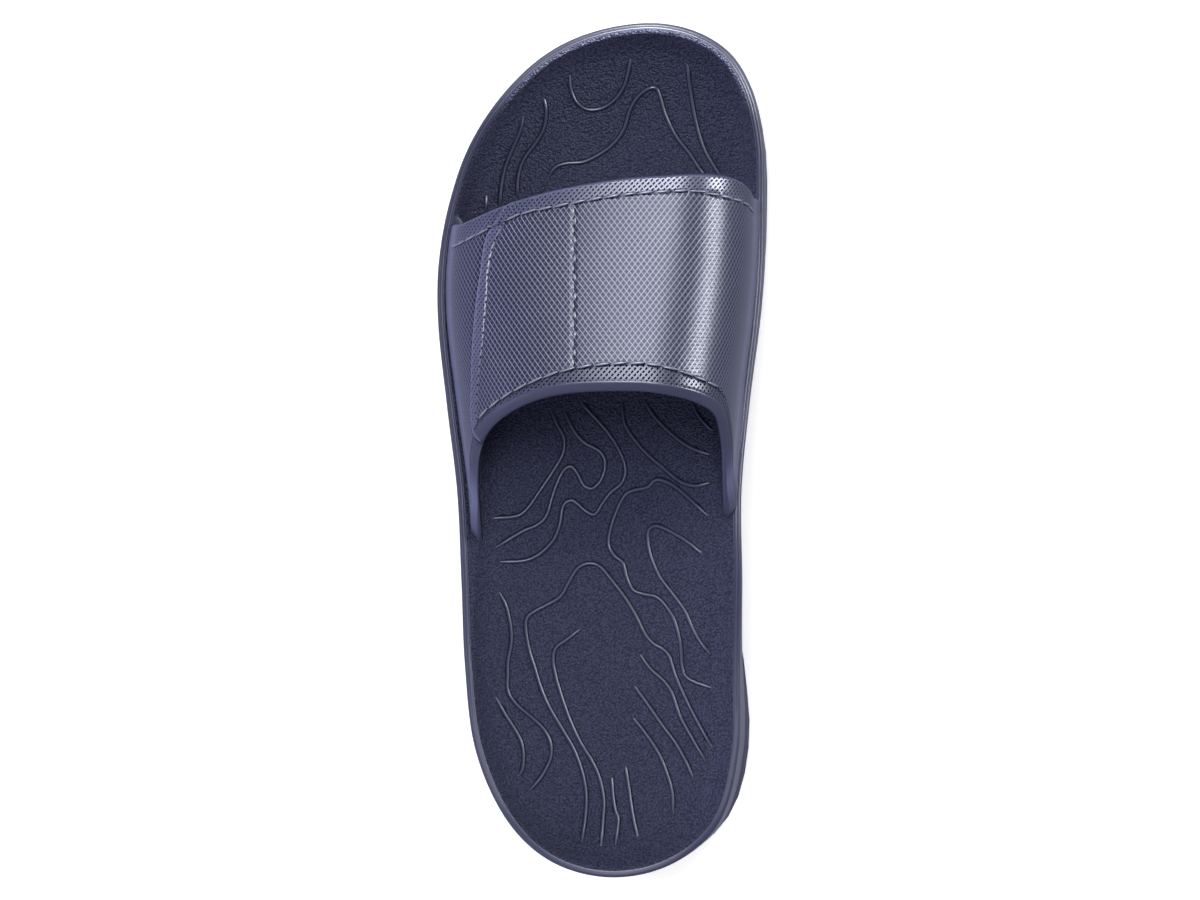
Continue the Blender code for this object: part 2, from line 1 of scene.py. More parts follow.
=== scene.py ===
"""Studio picture of a moulded foam slide sandal for the left foot, seen from above.

Metres, +Z up. +Y runs from heel to toe and +X points to the big toe. The sole stands on z = 0.
An angle round the sole is 0 at the heel tip, grows along the little-toe side, is pi at the toe
tip and comes back along the big-toe side. A share along the sole is 0 at the heel and 1 at the
toe. Fine lines are charted in millimetres as the camera sees them in the plane through the
camera's aim, and they are laid on the surface under them.
"""

import math

import bmesh
import bpy
from mathutils import Matrix, Vector
from mathutils.bvhtree import BVHTree


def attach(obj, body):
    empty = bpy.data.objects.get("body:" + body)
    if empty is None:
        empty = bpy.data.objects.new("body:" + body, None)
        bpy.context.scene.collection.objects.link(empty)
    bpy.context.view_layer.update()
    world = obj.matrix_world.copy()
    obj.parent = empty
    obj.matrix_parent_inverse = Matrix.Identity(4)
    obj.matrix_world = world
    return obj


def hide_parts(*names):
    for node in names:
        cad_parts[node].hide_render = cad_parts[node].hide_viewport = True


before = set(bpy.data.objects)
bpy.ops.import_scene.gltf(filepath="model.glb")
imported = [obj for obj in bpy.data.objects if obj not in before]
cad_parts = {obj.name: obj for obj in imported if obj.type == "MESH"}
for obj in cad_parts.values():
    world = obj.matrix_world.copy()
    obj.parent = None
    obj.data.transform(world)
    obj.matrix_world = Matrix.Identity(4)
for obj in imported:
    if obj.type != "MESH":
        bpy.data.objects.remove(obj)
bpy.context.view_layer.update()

MM = 0.001

# Camera
VIEW_DISTANCE = 1.6
VIEW_TILT = math.radians(3)  # towards the big toe
VIEW_WIDTH = 0.415  # width of the picture at the aim
SENSOR = 36.0  # millimetres
AIM = Vector((0.0, 0.0, 0.038))
VIEW_BACK = Vector((math.sin(VIEW_TILT), 0.0, math.cos(VIEW_TILT)))
VIEW_RIGHT = Vector((math.cos(VIEW_TILT), 0.0, -math.sin(VIEW_TILT)))
VIEW_UP = Vector((0.0, 1.0, 0.0))
EYE = AIM + VIEW_DISTANCE * VIEW_BACK

# Sizes of the sole, as in the solid model
LENGTH = 0.296
BALL_WIDTH = 0.1145
HEEL_STACK = 0.030
RIM_HEIGHT = 0.045
TOE_SPRING = 0.017
ARCH_RISE = 0.0025
HEEL_BEVEL = 0.003
HEEL_DISH = 0.0045
ARCH_SUPPORT = 0.006
WAIST_TUCK = 0.0064
HEEL_FLARE = 0.0026
OUTER_FLARE = 0.35
RIM_WIDTH = 0.0040
CUP_RUN = 0.0085
OUTSOLE_THICKNESS = 0.007
CLEARANCE = 0.0003
RIB_DEPTH = 0.0007
WALL_BELLY = 0.0006

# Sizes of the strap, as in the solid model
STRAP_FRONT_HEIGHT = 0.046
INSTEP_HEIGHT = 0.059
STRAP_WALL = 0.0036
STRAP_INSET = 0.0040
OVERLAY_STEP = 0.0009
EDGE_WALL = 0.0024
SHOULDER = 2.35

PLAN = (
    (0.000, 0.042, 0.042),
    (0.020, -0.158, 0.242),
    (0.065, -0.282, 0.366),
    (0.150, -0.381, 0.425),
    (0.250, -0.414, 0.429),
    (0.350, -0.425, 0.434),
    (0.450, -0.438, 0.432),
    (0.550, -0.471, 0.454),
    (0.650, -0.500, 0.484),
    (0.720, -0.499, 0.497),
    (0.790, -0.467, 0.499),
    (0.860, -0.401, 0.495),
    (0.930, -0.272, 0.451),
    (0.975, -0.123, 0.363),
    (1.000, 0.147, 0.147),
)
HEIGHTS = (
    (0.00, 0.92, 0.930, 0.930),
    (0.10, 1.00, 0.940, 0.940),
    (0.25, 1.03, 0.905, 0.940),
    (0.40, 1.00, 0.835, 0.955),
    (0.55, 0.90, 0.800, 0.870),
    (0.70, 0.79, 0.735, 0.750),
    (0.82, 0.73, 0.700, 0.705),
    (0.92, 0.66, 0.650, 0.650),
    (1.00, 0.58, 0.585, 0.585),
)
SIDES = (
    (0.00, 0.00, 0.00, 1.00, 0.00, 0.00),
    (0.11, 0.00, 1.00, 1.00, 0.00, 0.00),
    (0.24, 0.10, 0.35, 0.80, 0.20, 0.00),
    (0.34, 0.75, 0.00, 0.60, 0.80, 0.35),
    (0.44, 1.00, 0.00, 0.45, 1.00, 1.00),
    (0.54, 0.75, 0.00, 0.35, 0.55, 1.00),
    (0.66, 0.20, 0.00, 0.25, 0.10, 1.00),
    (0.78, 0.00, 0.00, 0.25, 0.00, 1.00),
    (0.86, 0.00, 0.00, 0.35, 0.00, 0.15),
    (1.00, 0.00, 0.00, 0.60, 0.00, 0.00),
)
HEEL_END, WAIST_START, WAIST_END, TOE_START = 0.06, 0.25, 0.58, 0.72
STRAP_EDGES = (
    (0, 0.764, 0.395),
    (14, 0.762, 0.467),
    (27, 0.767, 0.507),
    (46, 0.783, 0.541),
    (66, 0.800, 0.563),
    (86, 0.812, 0.569),
    (108, 0.815, 0.564),
    (128, 0.814, 0.555),
    (146, 0.809, 0.540),
    (158, 0.803, 0.511),
    (168, 0.795, 0.475),
    (180, 0.792, 0.424),
)
OVERLAY = (
    (0.00, 46),
    (0.12, 39.5),
    (0.30, 38),
    (0.45, 36),
    (0.60, 33.5),
    (0.75, 30.5),
    (0.88, 27.5),
    (1.00, 28),
)
STRAP_FEET = (
    (0.40, 1.28, 0.80),
    (0.50, 1.20, 0.78),
    (0.60, 1.10, 0.95),
    (0.80, 0.90, 0.80),
)
CREST = (
    (0.40, 0.62),
    (0.57, 0.65),
    (0.70, 0.69),
    (0.82, 0.71),
)

# Side wall. Columns: share of its height, share of its way out from a tucked tread layer to the
# rim, how far it stands proud as a share of RIB_DEPTH, share of a flare that it has left behind
WALL = (
    (0.000, 0.00, 0.0, 0.00),
    (0.090, 0.045, 0.0, 0.02),
    (0.105, 0.055, 0.7, 0.03),
    (0.120, 0.07, 1.0, 0.04),
    (0.185, 0.13, 1.0, 0.10),
    (0.200, 0.14, 0.7, 0.12),
    (0.215, 0.165, 0.0, 0.14),
    (0.255, 0.22, 0.0, 0.18),
    (0.265, 0.235, 0.5, 0.20),
    (0.275, 0.245, 0.5, 0.21),
    (0.285, 0.255, 0.0, 0.23),
    (0.305, 0.28, 0.0, 0.26),
    (0.318, 0.295, 0.7, 0.31),
    (0.335, 0.32, 1.0, 0.38),
    (0.345, 0.34, 1.0, 0.46),
    (0.352, 0.355, 1.0, 0.57),
    (0.365, 0.38, 1.0, 0.62),
    (0.420, 0.49, 1.0, 0.70),
    (0.500, 0.65, 1.0, 0.80),
    (0.580, 0.79, 1.0, 0.88),
    (0.680, 0.88, 1.0, 0.94),
    (0.780, 0.94, 1.0, 0.97),
    (0.880, 0.98, 1.0, 0.99),
    (0.960, 1.00, 1.0, 1.00),
)

# Rim from its outer corner inwards, in millimetres: distance inside the outline, drop, and
# depth of the fine lines that run round toe and sides
RIM_OUTER = (
    (0.00, 1.50, 0.0),
    (0.03, 0.90, 0.0),
    (0.14, 0.50, 0.0),
    (0.32, 0.24, 0.0),
    (0.55, 0.10, 0.0),
    (0.85, 0.04, 0.0),
    (0.98, 0.03, 0.0),
    (1.08, 0.02, 0.35),
    (1.20, 0.02, 0.35),
    (1.30, 0.02, 0.0),
    (1.70, 0.02, 0.0),
    (2.02, 0.04, 0.0),
    (2.12, 0.06, 0.32),
    (2.24, 0.08, 0.32),
    (2.34, 0.10, 0.0),
    (2.55, 0.18, 0.0),
)
TOE_CROWN = 2.7  # how much more the rim's outer edge drops at the toe, millimetres
TOE_CROWN_RUN = (0.88, 0.97)  # shares along the sole between which this grows
HEEL_CROWN = 0.9  # the same at the heel
HEEL_CROWN_RUN = (0.09, 0.03)
CROWN_WIDTH = 4.2  # from the outline inwards, millimetres
TOE_FLAT = 0.75  # share of the inner edge's roundness that is gone at the toe
RIM_LINES = (0.16, 0.34)  # shares along the sole between which those lines fade in
RIM_STEP = (2.66, 0.36)  # where the grain starts: distance inside the outline, drop
# The same, from the seat's inner edge outwards: distance outside the edge, drop
RIM_INNER = (
    (1.20, 0.38),
    (0.80, 0.56),
    (0.40, 0.86),
    (0.00, 1.25),
)
SEAT_AHEAD = 0.010  # how far ahead of the strap's front its smooth seat reaches, in shares
SEAT_BEHIND = 0.020  # how far back under the strap it reaches
SEAT_RUN = (0.003, 0.022)  # shares ahead of the strap between which the wide seat ends
INNER_BELLY = 0.3  # share of WALL_BELLY by which the rim's inner edge moves in
# Inner wall of the cup: share of CUP_RUN, share of the drop from the rim's edge to the footbed
CUP = (
    (0.06, 0.10),
    (0.12, 0.20),
    (0.20, 0.34),
    (0.28, 0.47),
    (0.37, 0.60),
    (0.47, 0.72),
    (0.58, 0.82),
    (0.70, 0.90),
    (0.84, 0.965),
    (1.00, 1.00),
)
SPINE_SHARE = 0.78
SOLE_STEPS = 384
BED_RINGS = 34

# Stitch lines of the strap, from the edge that they follow. Columns: angle over the arch in
# degrees, distance in millimetres
FRONT_STITCH = (
    (0, 7.6),
    (15, 7.3),
    (32, 6.8),
    (44, 6.2),
    (54, 5.4),
    (64, 5.9),
    (80, 5.7),
    (90, 5.5),
    (107, 5.8),
    (122, 6.8),
    (139, 7.0),
    (162, 6.4),
    (180, 6.0),
)
REAR_STITCH = (
    (0, 4.0),
    (34, 4.2),
    (44, 4.2),
    (55, 4.8),
    (63, 5.6),
    (71, 6.8),
    (77, 7.6),
    (83, 8.2),
    (90, 8.5),
    (107, 7.9),
    (121, 7.0),
    (135, 6.8),
    (150, 6.6),
    (180, 6.6),
)
# Columns: share from front edge to rear edge, angle over the arch in degrees
OVERLAY_STITCH = (
    (0.08, 47.5),
    (0.112, 45.8),
    (0.196, 43.1),
    (0.298, 42.0),
    (0.404, 41.9),
    (0.553, 40.6),
    (0.650, 39.0),
    (0.740, 36.6),
    (0.825, 34.1),
    (0.902, 32.0),
    (0.930, 32.0),
)
SEAM = (
    (0.09, 69.5),
    (0.29, 71.0),
    (0.49, 72.4),
    (0.68, 73.5),
    (0.89, 74.5),
)

# Relief of the strap's outer face, in millimetres
GROOVE_HALF = 0.80  # half width of a stitch groove
GROOVE_DEPTH = 0.60
GROOVE_NECK = 0.12  # share of it that is left where two stitches meet
NECK_RUN = 0.26  # share of a stitch over which it gets there
SEAM_GROOVE = 0.45  # share of a groove's depth along the seam
ROLL = 2.9  # width of the smooth roll at the rear edge
ROLL_DROP = 1.9  # how far it turns down
ROLL_POWER = 1.4
EDGE_RUN = 0.7  # how far in from the front edge its roundness starts
EDGE_BULGE = 0.7 * MM
EDGE_PARTS = (0.15, 0.38, 0.62, 0.85)
FOOT_FLARE = 1.2  # how far the strap's feet curve out to meet the rim
FOOT_RUN = 9.0  # degrees over the arch that this takes up
# Where the grooves and the knit fade in and out: degrees over the arch, or for the overlay and
# the seam the share from front edge to rear edge
FRONT_RUN = (6, 12, 166, 174)
REAR_RUN = (31, 34, 142, 150)
OVERLAY_RUN = (0.075, 0.09, 0.92, 0.935)
SEAM_RUN = (0.08, 0.095, 0.885, 0.90)
KNIT_RUN = (1, 4, 144, 158)
OVERLAY_SCALE, SEAM_SCALE = 1.05, 1.15  # millimetres in a degree at those two lines
OVERLAP_RUN = (-0.5, 0.3)  # degrees from the overlap's edge between which the surface steps
# Bells of relief and of tone; the tone bells are painted highlight and painted shade. Columns:
# middle, width, height. Along the overlap's edge, in degrees from it
OVERLAP_LIP = (0.9, 0.7, 0.20)
# painted highlight along the overlap's lip and painted shade just under its edge
HEM_HIGHLIGHT = (0.5, 0.40, 1.7)
HEM_SHADE = (-0.7, 0.50, -1.2)
HEM_BARE = (0.0, 0.6, 1.0)  # what it takes off the knit
# Elsewhere
FOOT_HIGHLIGHT = (8.0, 5.0, 0.9)  # painted highlight where the foot curves out to the rim, degrees from the nearer foot
ROLL_CREASE = (ROLL, 0.25, 0.25)  # millimetres from the rear edge
EDGE_HIGHLIGHT = (0.0, 0.45, 1.6)  # painted highlight along the rounded front edge, millimetres from the front edge
# Where the darker bands fade, in millimetres from their edge or from a stitch line
REAR_BAND_TONE, FRONT_BAND_TONE = -0.60, -0.20
REAR_BAND_START, REAR_BAND_STOP = (ROLL - 0.3, ROLL + 0.5), (-0.4, 0.4)
FRONT_BAND_RUN = (4.5, 6.5)
INNER_SHADE = -0.7  # painted shade: the strap's inner face is painted darker, and it is duller than its outer one
# Where the knit starts: millimetres from the rear and the front edge, degrees from the overlap's
ROLL_BARE, EDGE_BARE, OVERLAP_BARE = (ROLL - 0.3, ROLL + 0.1), (0.0, 0.3), 0.8

# Rows and columns of the strap's mesh, in millimetres and in degrees
FRONT_LAPS = (0.0, 0.25, 0.55, 0.9, 1.3, 1.8, 2.6, 3.4, 4.2)  # rows in the front band
ROLL_PARTS = (-0.03, 0.04, 0.10, 0.2, 0.4, 0.6, 0.75, 0.87, 0.95, 1.0)  # rows in the roll
OVERLAP_LAPS = (-1.3, -0.8, -0.4, -0.1, 0.2, 0.5, 1.0)  # columns at the overlap's edge
OVERLAP_GAP, OVERLAY_GAP, SEAM_GAP = 1.6, 1.0, 0.6  # room beside the crowded columns
OVERLAY_HALF, SEAM_HALF = 0.9, 0.55  # half widths of those two grooves
GROOVE_LAPS = 7  # rows or columns across a groove
FOOT_COLUMNS, BORDER_COLUMNS, PANEL_COLUMNS, FIELD_COLUMNS = 26, 4, 34, 150
FIELD_ROWS, BAND_ROWS = 92, 8

# Stitches
STITCH_WIDTH = 0.86 * MM
STITCH_HEIGHT = 0.60 * MM
STITCH_SINK = 0.2 * MM
STITCH_TIP = 0.02  # keeps its ends from closing to a point
STITCH_SHIFT = 0.34 * MM  # how far to the toe side of its groove's middle
STITCH_TURN = math.radians(3.5)  # how far a stitch turns out of its line, its right end forward
STITCH_ENDS = (-1.0, -0.82, -0.45, 0.0, 0.45, 0.82, 1.0)
STITCH_SECTION = (-1.0, -0.7, 0.0, 0.7, 1.0)
ARCH_ROUND = 0.8  # share of its distance across that turns a stitch outward
UPSIDE_DOWN = 0.3  # a stitch whose outward direction falls by more than this is turned over
EDGE_LINES = ("front", "rear")
PATH_STEPS = 400
# Lines of stitches. Columns: line, where it starts and stops, millimetres from one stitch to the
# next, a stitch's length in millimetres, how far they swing to each side in turn, how deep they sit
STITCH_LINES = (
    ("front", 9.0, 43.0, 5.9, 5.6, 0.0, 0.20),
    ("front", 47.0, 168.0, 5.9, 5.6, 0.0, 0.12),
    ("rear", 34.0, 144.0, 5.9, 5.6, 0.0, 0.12),
    ("overlay", 0.10, 0.92, 5.9, 5.2, 0.0, 0.84),
    ("seam", 0.10, 0.88, 3.3, 2.4, 0.36, 0.04),
)

# Contour ridges of the footbed, charted in millimetres across and along
RIDGES = (
    ((-10.5, 129.8), (-10.1, 125.1), (-8.2, 120.5), (-4.4, 117.8), (0.7, 118.2), (5.3, 121.3),
     (8.4, 125.9), (9.9, 131.3), (10.7, 135.6)),
    ((-19.4, 121.7), (-18.6, 117.4), (-19.4, 111.2), (-22.5, 105.8), (-26.4, 100.4),
     (-28.3, 94.3), (-28.7, 87.3)),
    ((-26.4, 115.5), (-27.5, 110.5), (-30.2, 104.3), (-32.9, 97.3), (-34.2, 90.4), (-34.7, 84.2)),
    ((-39.3, 88.1), (-39.6, 81.9)),
    ((-18.3, 93.9), (-15.5, 97.7), (-11.7, 99.1), (-5.5, 99.7), (0.7, 102.8), (5.3, 106.6),
     (8.4, 111.2), (10.3, 117.4), (13.0, 122.0), (16.9, 125.0), (19.6, 125.0), (21.1, 121.3),
     (22.7, 115.9), (26.1, 108.9), (30.8, 102.8), (33.9, 98.1), (36.2, 94.6)),
    ((30.2, 133.6), (31.1, 125.9), (32.7, 115.9), (35.4, 105.8), (38.5, 99.7), (41.6, 94.6)),
    ((-17.1, 14.2), (-14.8, 8.8), (-12.5, 4.2), (-12.8, -1.2), (-16.3, -7.4), (-21.0, -14.4),
     (-24.8, -19.8), (-28.7, -22.8), (-36.8, -23.6)),
    ((-12.5, 14.2), (-9.4, 7.3), (-5.5, 2.6), (-0.1, -0.5), (1.8, -4.3), (0.7, -9.7),
     (-2.4, -13.2), (-5.5, -12.4), (-7.8, -8.2), (-10.1, -5.7), (-12.5, -7.0), (-14.8, -11.3),
     (-16.7, -16.7), (-18.6, -22.8), (-21.7, -25.9), (-26.4, -27.9), (-31.0, -30.6),
     (-36.0, -33.7)),
    ((-7.1, 16.9), (-1.7, 11.1), (3.0, 5.7), (6.8, -0.5), (8.8, -6.6), (7.6, -11.3),
     (3.7, -14.7), (1.0, -18.2), (-1.7, -22.2), (-4.7, -21.3), (-7.8, -18.6), (-10.1, -17.4),
     (-12.8, -19.4), (-14.0, -25.9), (-16.3, -31.3), (-21.0, -36.0), (-26.4, -38.3),
     (-34.8, -38.7)),
    ((7.6, 16.9), (8.4, 9.6), (11.5, 4.2), (16.1, -1.2), (22.3, -6.6), (27.7, -10.9),
     (33.1, -12.4), (37.7, -11.3)),
    ((15.3, 16.9), (19.2, 11.1), (24.6, 5.7), (30.8, 1.1), (37.7, -1.6)),
    ((31.5, 16.5), (34.6, 11.1), (38.9, 6.5)),
    ((37.3, -22.8), (31.5, -17.4), (26.1, -12.8), (21.5, -10.5), (18.8, -10.5), (16.5, -12.8),
     (11.5, -14.0), (8.4, -15.9), (5.3, -22.1), (3.4, -28.3), (3.0, -32.9), (4.9, -36.4),
     (8.0, -39.1), (9.2, -43.7), (11.5, -48.3), (15.3, -49.9), (20.0, -51.0), (23.8, -55.3),
     (26.1, -59.9), (27.7, -66.1), (28.1, -69.9), (28.8, -76.5), (31.5, -79.6), (38.5, -82.3)),
    ((35.4, -36.0), (30.8, -32.1), (24.6, -28.3), (20.0, -26.3), (17.3, -27.1), (16.5, -30.6),
     (17.6, -36.7), (20.7, -43.7), (25.4, -49.9), (29.2, -55.3), (31.9, -61.4), (34.6, -66.1),
     (38.1, -70.7)),
    ((-34.8, -49.1), (-32.5, -53.7), (-31.0, -59.9), (-30.6, -66.1), (-31.8, -73.0),
     (-31.9, -77.7), (-31.8, -83.4), (-28.7, -88.1), (-23.3, -92.7), (-19.4, -96.6),
     (-17.1, -101.2), (-17.1, -106.6), (-20.2, -112.8), (-24.4, -117.8)),
    ((-36.0, -85.4), (-32.9, -91.2), (-29.4, -96.6), (-27.1, -101.2), (-26.4, -106.6),
     (-27.1, -111.2), (-28.7, -112.9)),
    ((-6.3, -135.5), (-5.1, -127.4), (-4.7, -119.7), (-5.9, -112.0), (-8.6, -104.3),
     (-12.5, -97.3), (-17.1, -89.6), (-20.2, -82.7), (-22.5, -75.3), (-24.4, -69.2),
     (-25.6, -62.2), (-25.2, -58.0), (-22.5, -55.7), (-17.9, -53.3), (-13.6, -50.6),
     (-10.9, -46.0), (-7.8, -41.0), (-4.0, -39.2), (-0.1, -40.2), (3.7, -44.5), (8.4, -50.6),
     (12.2, -56.8), (15.3, -63.0), (18.4, -66.8), (23.4, -70.3), (26.1, -78.0), (29.2, -85.0),
     (33.1, -92.7), (38.9, -103.1)),
    ((-7.1, -62.2), (-11.7, -65.7), (-15.2, -68.4), (-16.2, -72.6), (-15.2, -78.4),
     (-14.0, -82.7), (-10.9, -91.9), (-7.1, -100.4), (-2.8, -107.4), (-0.1, -113.5),
     (1.4, -121.3), (1.0, -129.0), (0.3, -137.1)),
    ((4.1, -113.2), (4.5, -119.0), (5.3, -124.4), (6.4, -128.2), (5.3, -136.7)),
    ((8.8, -109.3), (9.9, -115.9), (11.1, -124.4), (13.0, -134.0)),
    ((11.5, -92.7), (15.3, -97.3), (20.0, -104.3), (23.0, -111.2), (25.0, -118.2),
     (25.4, -125.9)),
    ((11.9, -81.5), (16.1, -87.3), (21.5, -95.0), (26.1, -101.2), (30.0, -108.1),
     (32.3, -113.9)),
    ((13.8, -70.7), (17.6, -75.7), (22.3, -80.0), (25.0, -84.2), (27.7, -91.9), (31.5, -98.9),
     (36.6, -107.8)),
)
RIDGE_WIDTH = 1.35 * MM
RIDGE_HEIGHT = 0.72 * MM
CREASE = 0.42 * MM  # width of the strip of painted shade along both sides of a ridge
RIDGE_STEP = 0.9 * MM
RIDGE_TAPER = 3.0 * MM  # how far from its end a ridge starts to sink
RIDGE_PAST = 0.15  # how far past its end, as a share of that, it would be sunk
RIDGE_SINK = 0.06 * MM
CREASE_START = 0.9  # share of a ridge's half width at which its crease starts
CREASE_LIFTS = (-0.03 * MM, 0.035 * MM)  # height of its outer and of its inner edge over the bed
CURVE_STEPS = 12  # between two charted points
# Section of a ridge: share of its half width, share of its height
RIDGE_SECTION = (
    (-1.0, 0.0),
    (-0.80, 0.34),
    (-0.55, 0.70),
    (-0.22, 0.95),
    (0.0, 1.0),
    (0.22, 0.95),
    (0.55, 0.70),
    (0.80, 0.34),
    (1.0, 0.0),
)

# Colours of the foam, linear values. It is one navy foam; the strap is painted lighter than the
# grained footbed through the tints of its tone, as painted light
BED_NAVY = (0.034, 0.0362, 0.072, 1.0)
BED_GLOSS_TINT = (0.66, 0.70, 1.0, 1.0)
SKIN_NAVY = (0.032, 0.034, 0.070, 1.0)
STRAP_NAVY = (0.026, 0.028, 0.063, 1.0)
GLOSS_TINT = (0.86, 0.88, 1.0, 1.0)
ROOM_TINT = (0.76, 0.80, 1.0, 1.0)
# The stitches are the same foam as the strap, painted lighter as a painted highlight
STITCH_HIGHLIGHT_NAVY = (0.130, 0.136, 0.195, 1.0)
RIDGE_TONE, CREASE_SHADE_TONE = 1.05, 0.22  # tints of the bed's navy; the crease's is painted shade
# Roughness, level of gloss, and how much that level grows on the rim round the toe
SKIN_ROUGH, SKIN_GLOSS, SKIN_POLISH = 0.36, 0.50, 1.9
BED_ROUGH, BED_GLOSS, BED_POLISH = 0.46, 0.20, 2.2
STITCH_ROUGH, STITCH_GLOSS = 0.36, 1.8
RIDGE_ROUGH, RIDGE_GLOSS = 0.32, 0.7
KNIT_ROUGH, KNIT_GLOSS = 0.34, 1.0
CREASE_ROUGH, FLOOR_ROUGH = 0.70, 0.9

# Moulded knit of the strap, in millimetres: spacing across and from row to row
KNIT_PITCH, KNIT_ROW = 2.0, 1.31
DIMPLE_HALF = (0.74, 0.21)  # half length across, half width along
THREAD_TURN = (0.0, 40.0)  # from the seam: where the other slant of threads becomes the brighter, painted light that shows which side the lamps are on
BRAID_PITCH, BRAID_ROW = 1.9, 1.05
KNIT_DEPTH = 0.09 * MM
# Where a thread, a dash and a tie of the braid start and are full, in shares of a cell from the
# middle of the nearest one, and a dimple in shares of its half size
THREAD_RUN, DASH_RUN, TIE_RUN, DIMPLE_RUN = (0.39, 0.47), (0.06, 0.26), (0.22, 0.38), (1.1, 0.5)
THREAD_LEAST, THREAD_GROWS = 0.45, 0.55  # weight of the duller slant, and what the other has more
THREAD_HEIGHT, DIMPLE_SINK = 0.8, 0.55  # shares of KNIT_DEPTH
# painted highlight on the threads and painted shade in the dimples, in tints of the strap's navy
THREAD_HIGHLIGHT, DIMPLE_SHADE, FIELD_TONE = 2.0, 0.16, 0.38
# BRAID_TONE scales the braid's relief and its tone; the tone paints its raised parts lighter and its
# low lines darker, as painted highlight and shade
BRAID_TONE, BRAID_MIDDLE = 1.35, 0.6
# painted shade in the stitch grooves
GROOVE_SHADE = 0.70
TONE_SPAN = (-1.3, 2.6)
TONE_DARK, TONE_LIGHT = 0.08, 3.6  # tints of the strap's navy at the two ends of that span, which holds the painted highlights and shade
GLOSS_GROWS, GLOSS_USUAL, GLOSS_LEAST = 0.85, 0.80, 0.04

# Grain of the footbed and of the moulded skin
PEBBLE = 0.80 * MM
BED_FINE = 0.50 * MM
BED_MIX = 0.6  # share of the fine noise in the grain
BED_DEPTH = 0.62 * MM
BED_SPAN = (0.55, 1.15)
BED_DARK, BED_LIGHT = 0.60, 1.34  # tints of the bed's navy at the two ends of that span
SKIN_FINE = 0.60 * MM
KNIT_FINE = 0.50 * MM
FINE_DEPTH, FINE_STRENGTH = 0.03 * MM, 0.5
NOISE_ROUGH = 0.6

# Studio. Columns: name, direction from the sandal, size in metres, power in watts, and whether the
# light shows in matt and in glossy reflections
LIGHT_DISTANCE = 1.5
LIGHTS = (
    ("top_light", (-0.03, 0.50, 0.86), (0.55, 0.6), 10.5, False, True),
    ("middle_light", (0.08, 0.30, 0.95), (0.5, 0.5), 10.0, True, True),
    ("zenith_light", (0.0, 0.05, 1.0), (0.8, 0.8), 5.0, True, True),
    ("front_light", (-0.65, -0.45, 0.62), (0.6, 0.6), 1.5, True, True),
    ("heel_light", (-0.20, -0.78, 0.60), (0.6, 0.6), 10.0, True, False),
    ("right_light", (0.96, 0.10, 0.12), (0.5, 0.5), 9.0, True, False),
    ("back_light", (0.50, 0.50, 0.72), (0.6, 0.6), 1.5, True, False),
    ("left_light", (-0.94, 0.20, 0.22), (0.5, 0.5), 26.0, True, False),
    ("shoulder_light", (0.90, 0.22, 0.37), (0.35, 0.7), 24.0, False, True),
    ("toe_light", (0.0, 0.80, 0.60), (0.5, 0.4), 14.0, False, True),
)
ROOM_LIGHT = 0.52
FLOOR_HALF = 3.0
FLOOR_DROP = 0.5 * MM
FLOOR_GLOW = 0.44  # keeps the shadows on the white floor faint
FLOOR_WHITE = (0.93, 0.93, 0.93, 1.0)
WHITE = (1.0, 1.0, 1.0, 1.0)


def follow(knots, values, at):
    """A smooth curve through the values, with its slope at each knot taken from both neighbours."""
    last = len(knots) - 1
    at = min(max(at, knots[0]), knots[last])
    left = 0
    while left < last - 1 and at > knots[left + 1]:
        left += 1

    def slope(i):
        before, after = max(i - 1, 0), min(i + 1, last)
        return (values[after] - values[before]) / (knots[after] - knots[before])

    step = knots[left + 1] - knots[left]
    u = (at - knots[left]) / step
    a, b = values[left], values[left + 1]
    rise_a, rise_b = slope(left) * step, slope(left + 1) * step
    return (
        a * (1 - 3 * u**2 + 2 * u**3)
        + b * (3 * u**2 - 2 * u**3)
        + rise_a * (u - 2 * u**2 + u**3)
        + rise_b * (u**3 - u**2)
    )


def column(table, number, at):
    return follow([row[0] for row in table], [row[number] for row in table], at)


def smooth(low, high, at):
    """0 at low, 1 at high and an even rise between them, whichever is larger."""
    u = min(max((at - low) / (high - low), 0.0), 1.0)
    return u * u * (3 - 2 * u)


def turn_at(share):
    return math.acos(1 - 2 * min(max(share, 0.0), 1.0))


def share_at(y):
    return min(max(y / LENGTH + 0.5, 0.0), 1.0)


RUN = [(turn_at(row[0]), row[1]) for row in PLAN] + [
    (2 * math.pi - turn_at(row[0]), row[2]) for row in reversed(PLAN[:-1])
]
RUN = (
    [(turn - 2 * math.pi, x) for turn, x in RUN[-3:-1]]
    + RUN
    + [(turn + 2 * math.pi, x) for turn, x in RUN[1:3]]
)
RUN_TURNS = [turn for turn, x in RUN]
RUN_REACH = [x for turn, x in RUN]


def rim_point(turn):
    return Vector((
        BALL_WIDTH * follow(RUN_TURNS, RUN_REACH, turn),
        -LENGTH / 2 * math.cos(turn),
    ))


def inward_at(turn):
    small = 0.01
    ahead = rim_point(turn + small) - rim_point(turn - small)
    return Vector((ahead.y, -ahead.x)).normalized()


def side_turn(share, side):
    turn = turn_at(share)
    return turn if side < 0 else 2 * math.pi - turn


def side_x(share, side, inset=0.0):
    return rim_point(side_turn(share, side)).x - side * inset


def ground(y):
    """The profile that the tread follows: heel bevel, raised waist and toe spring."""
    share = share_at(y)
    if share < HEEL_END:
        return HEEL_BEVEL * (1 - share / HEEL_END) ** 2
    if WAIST_START < share < WAIST_END:
        part = (share - WAIST_START) / (WAIST_END - WAIST_START)
        return ARCH_RISE * math.sin(math.pi * part) ** 2
    if share > TOE_START:
        return TOE_SPRING * ((share - TOE_START) / (1 - TOE_START)) ** 2
    return 0.0


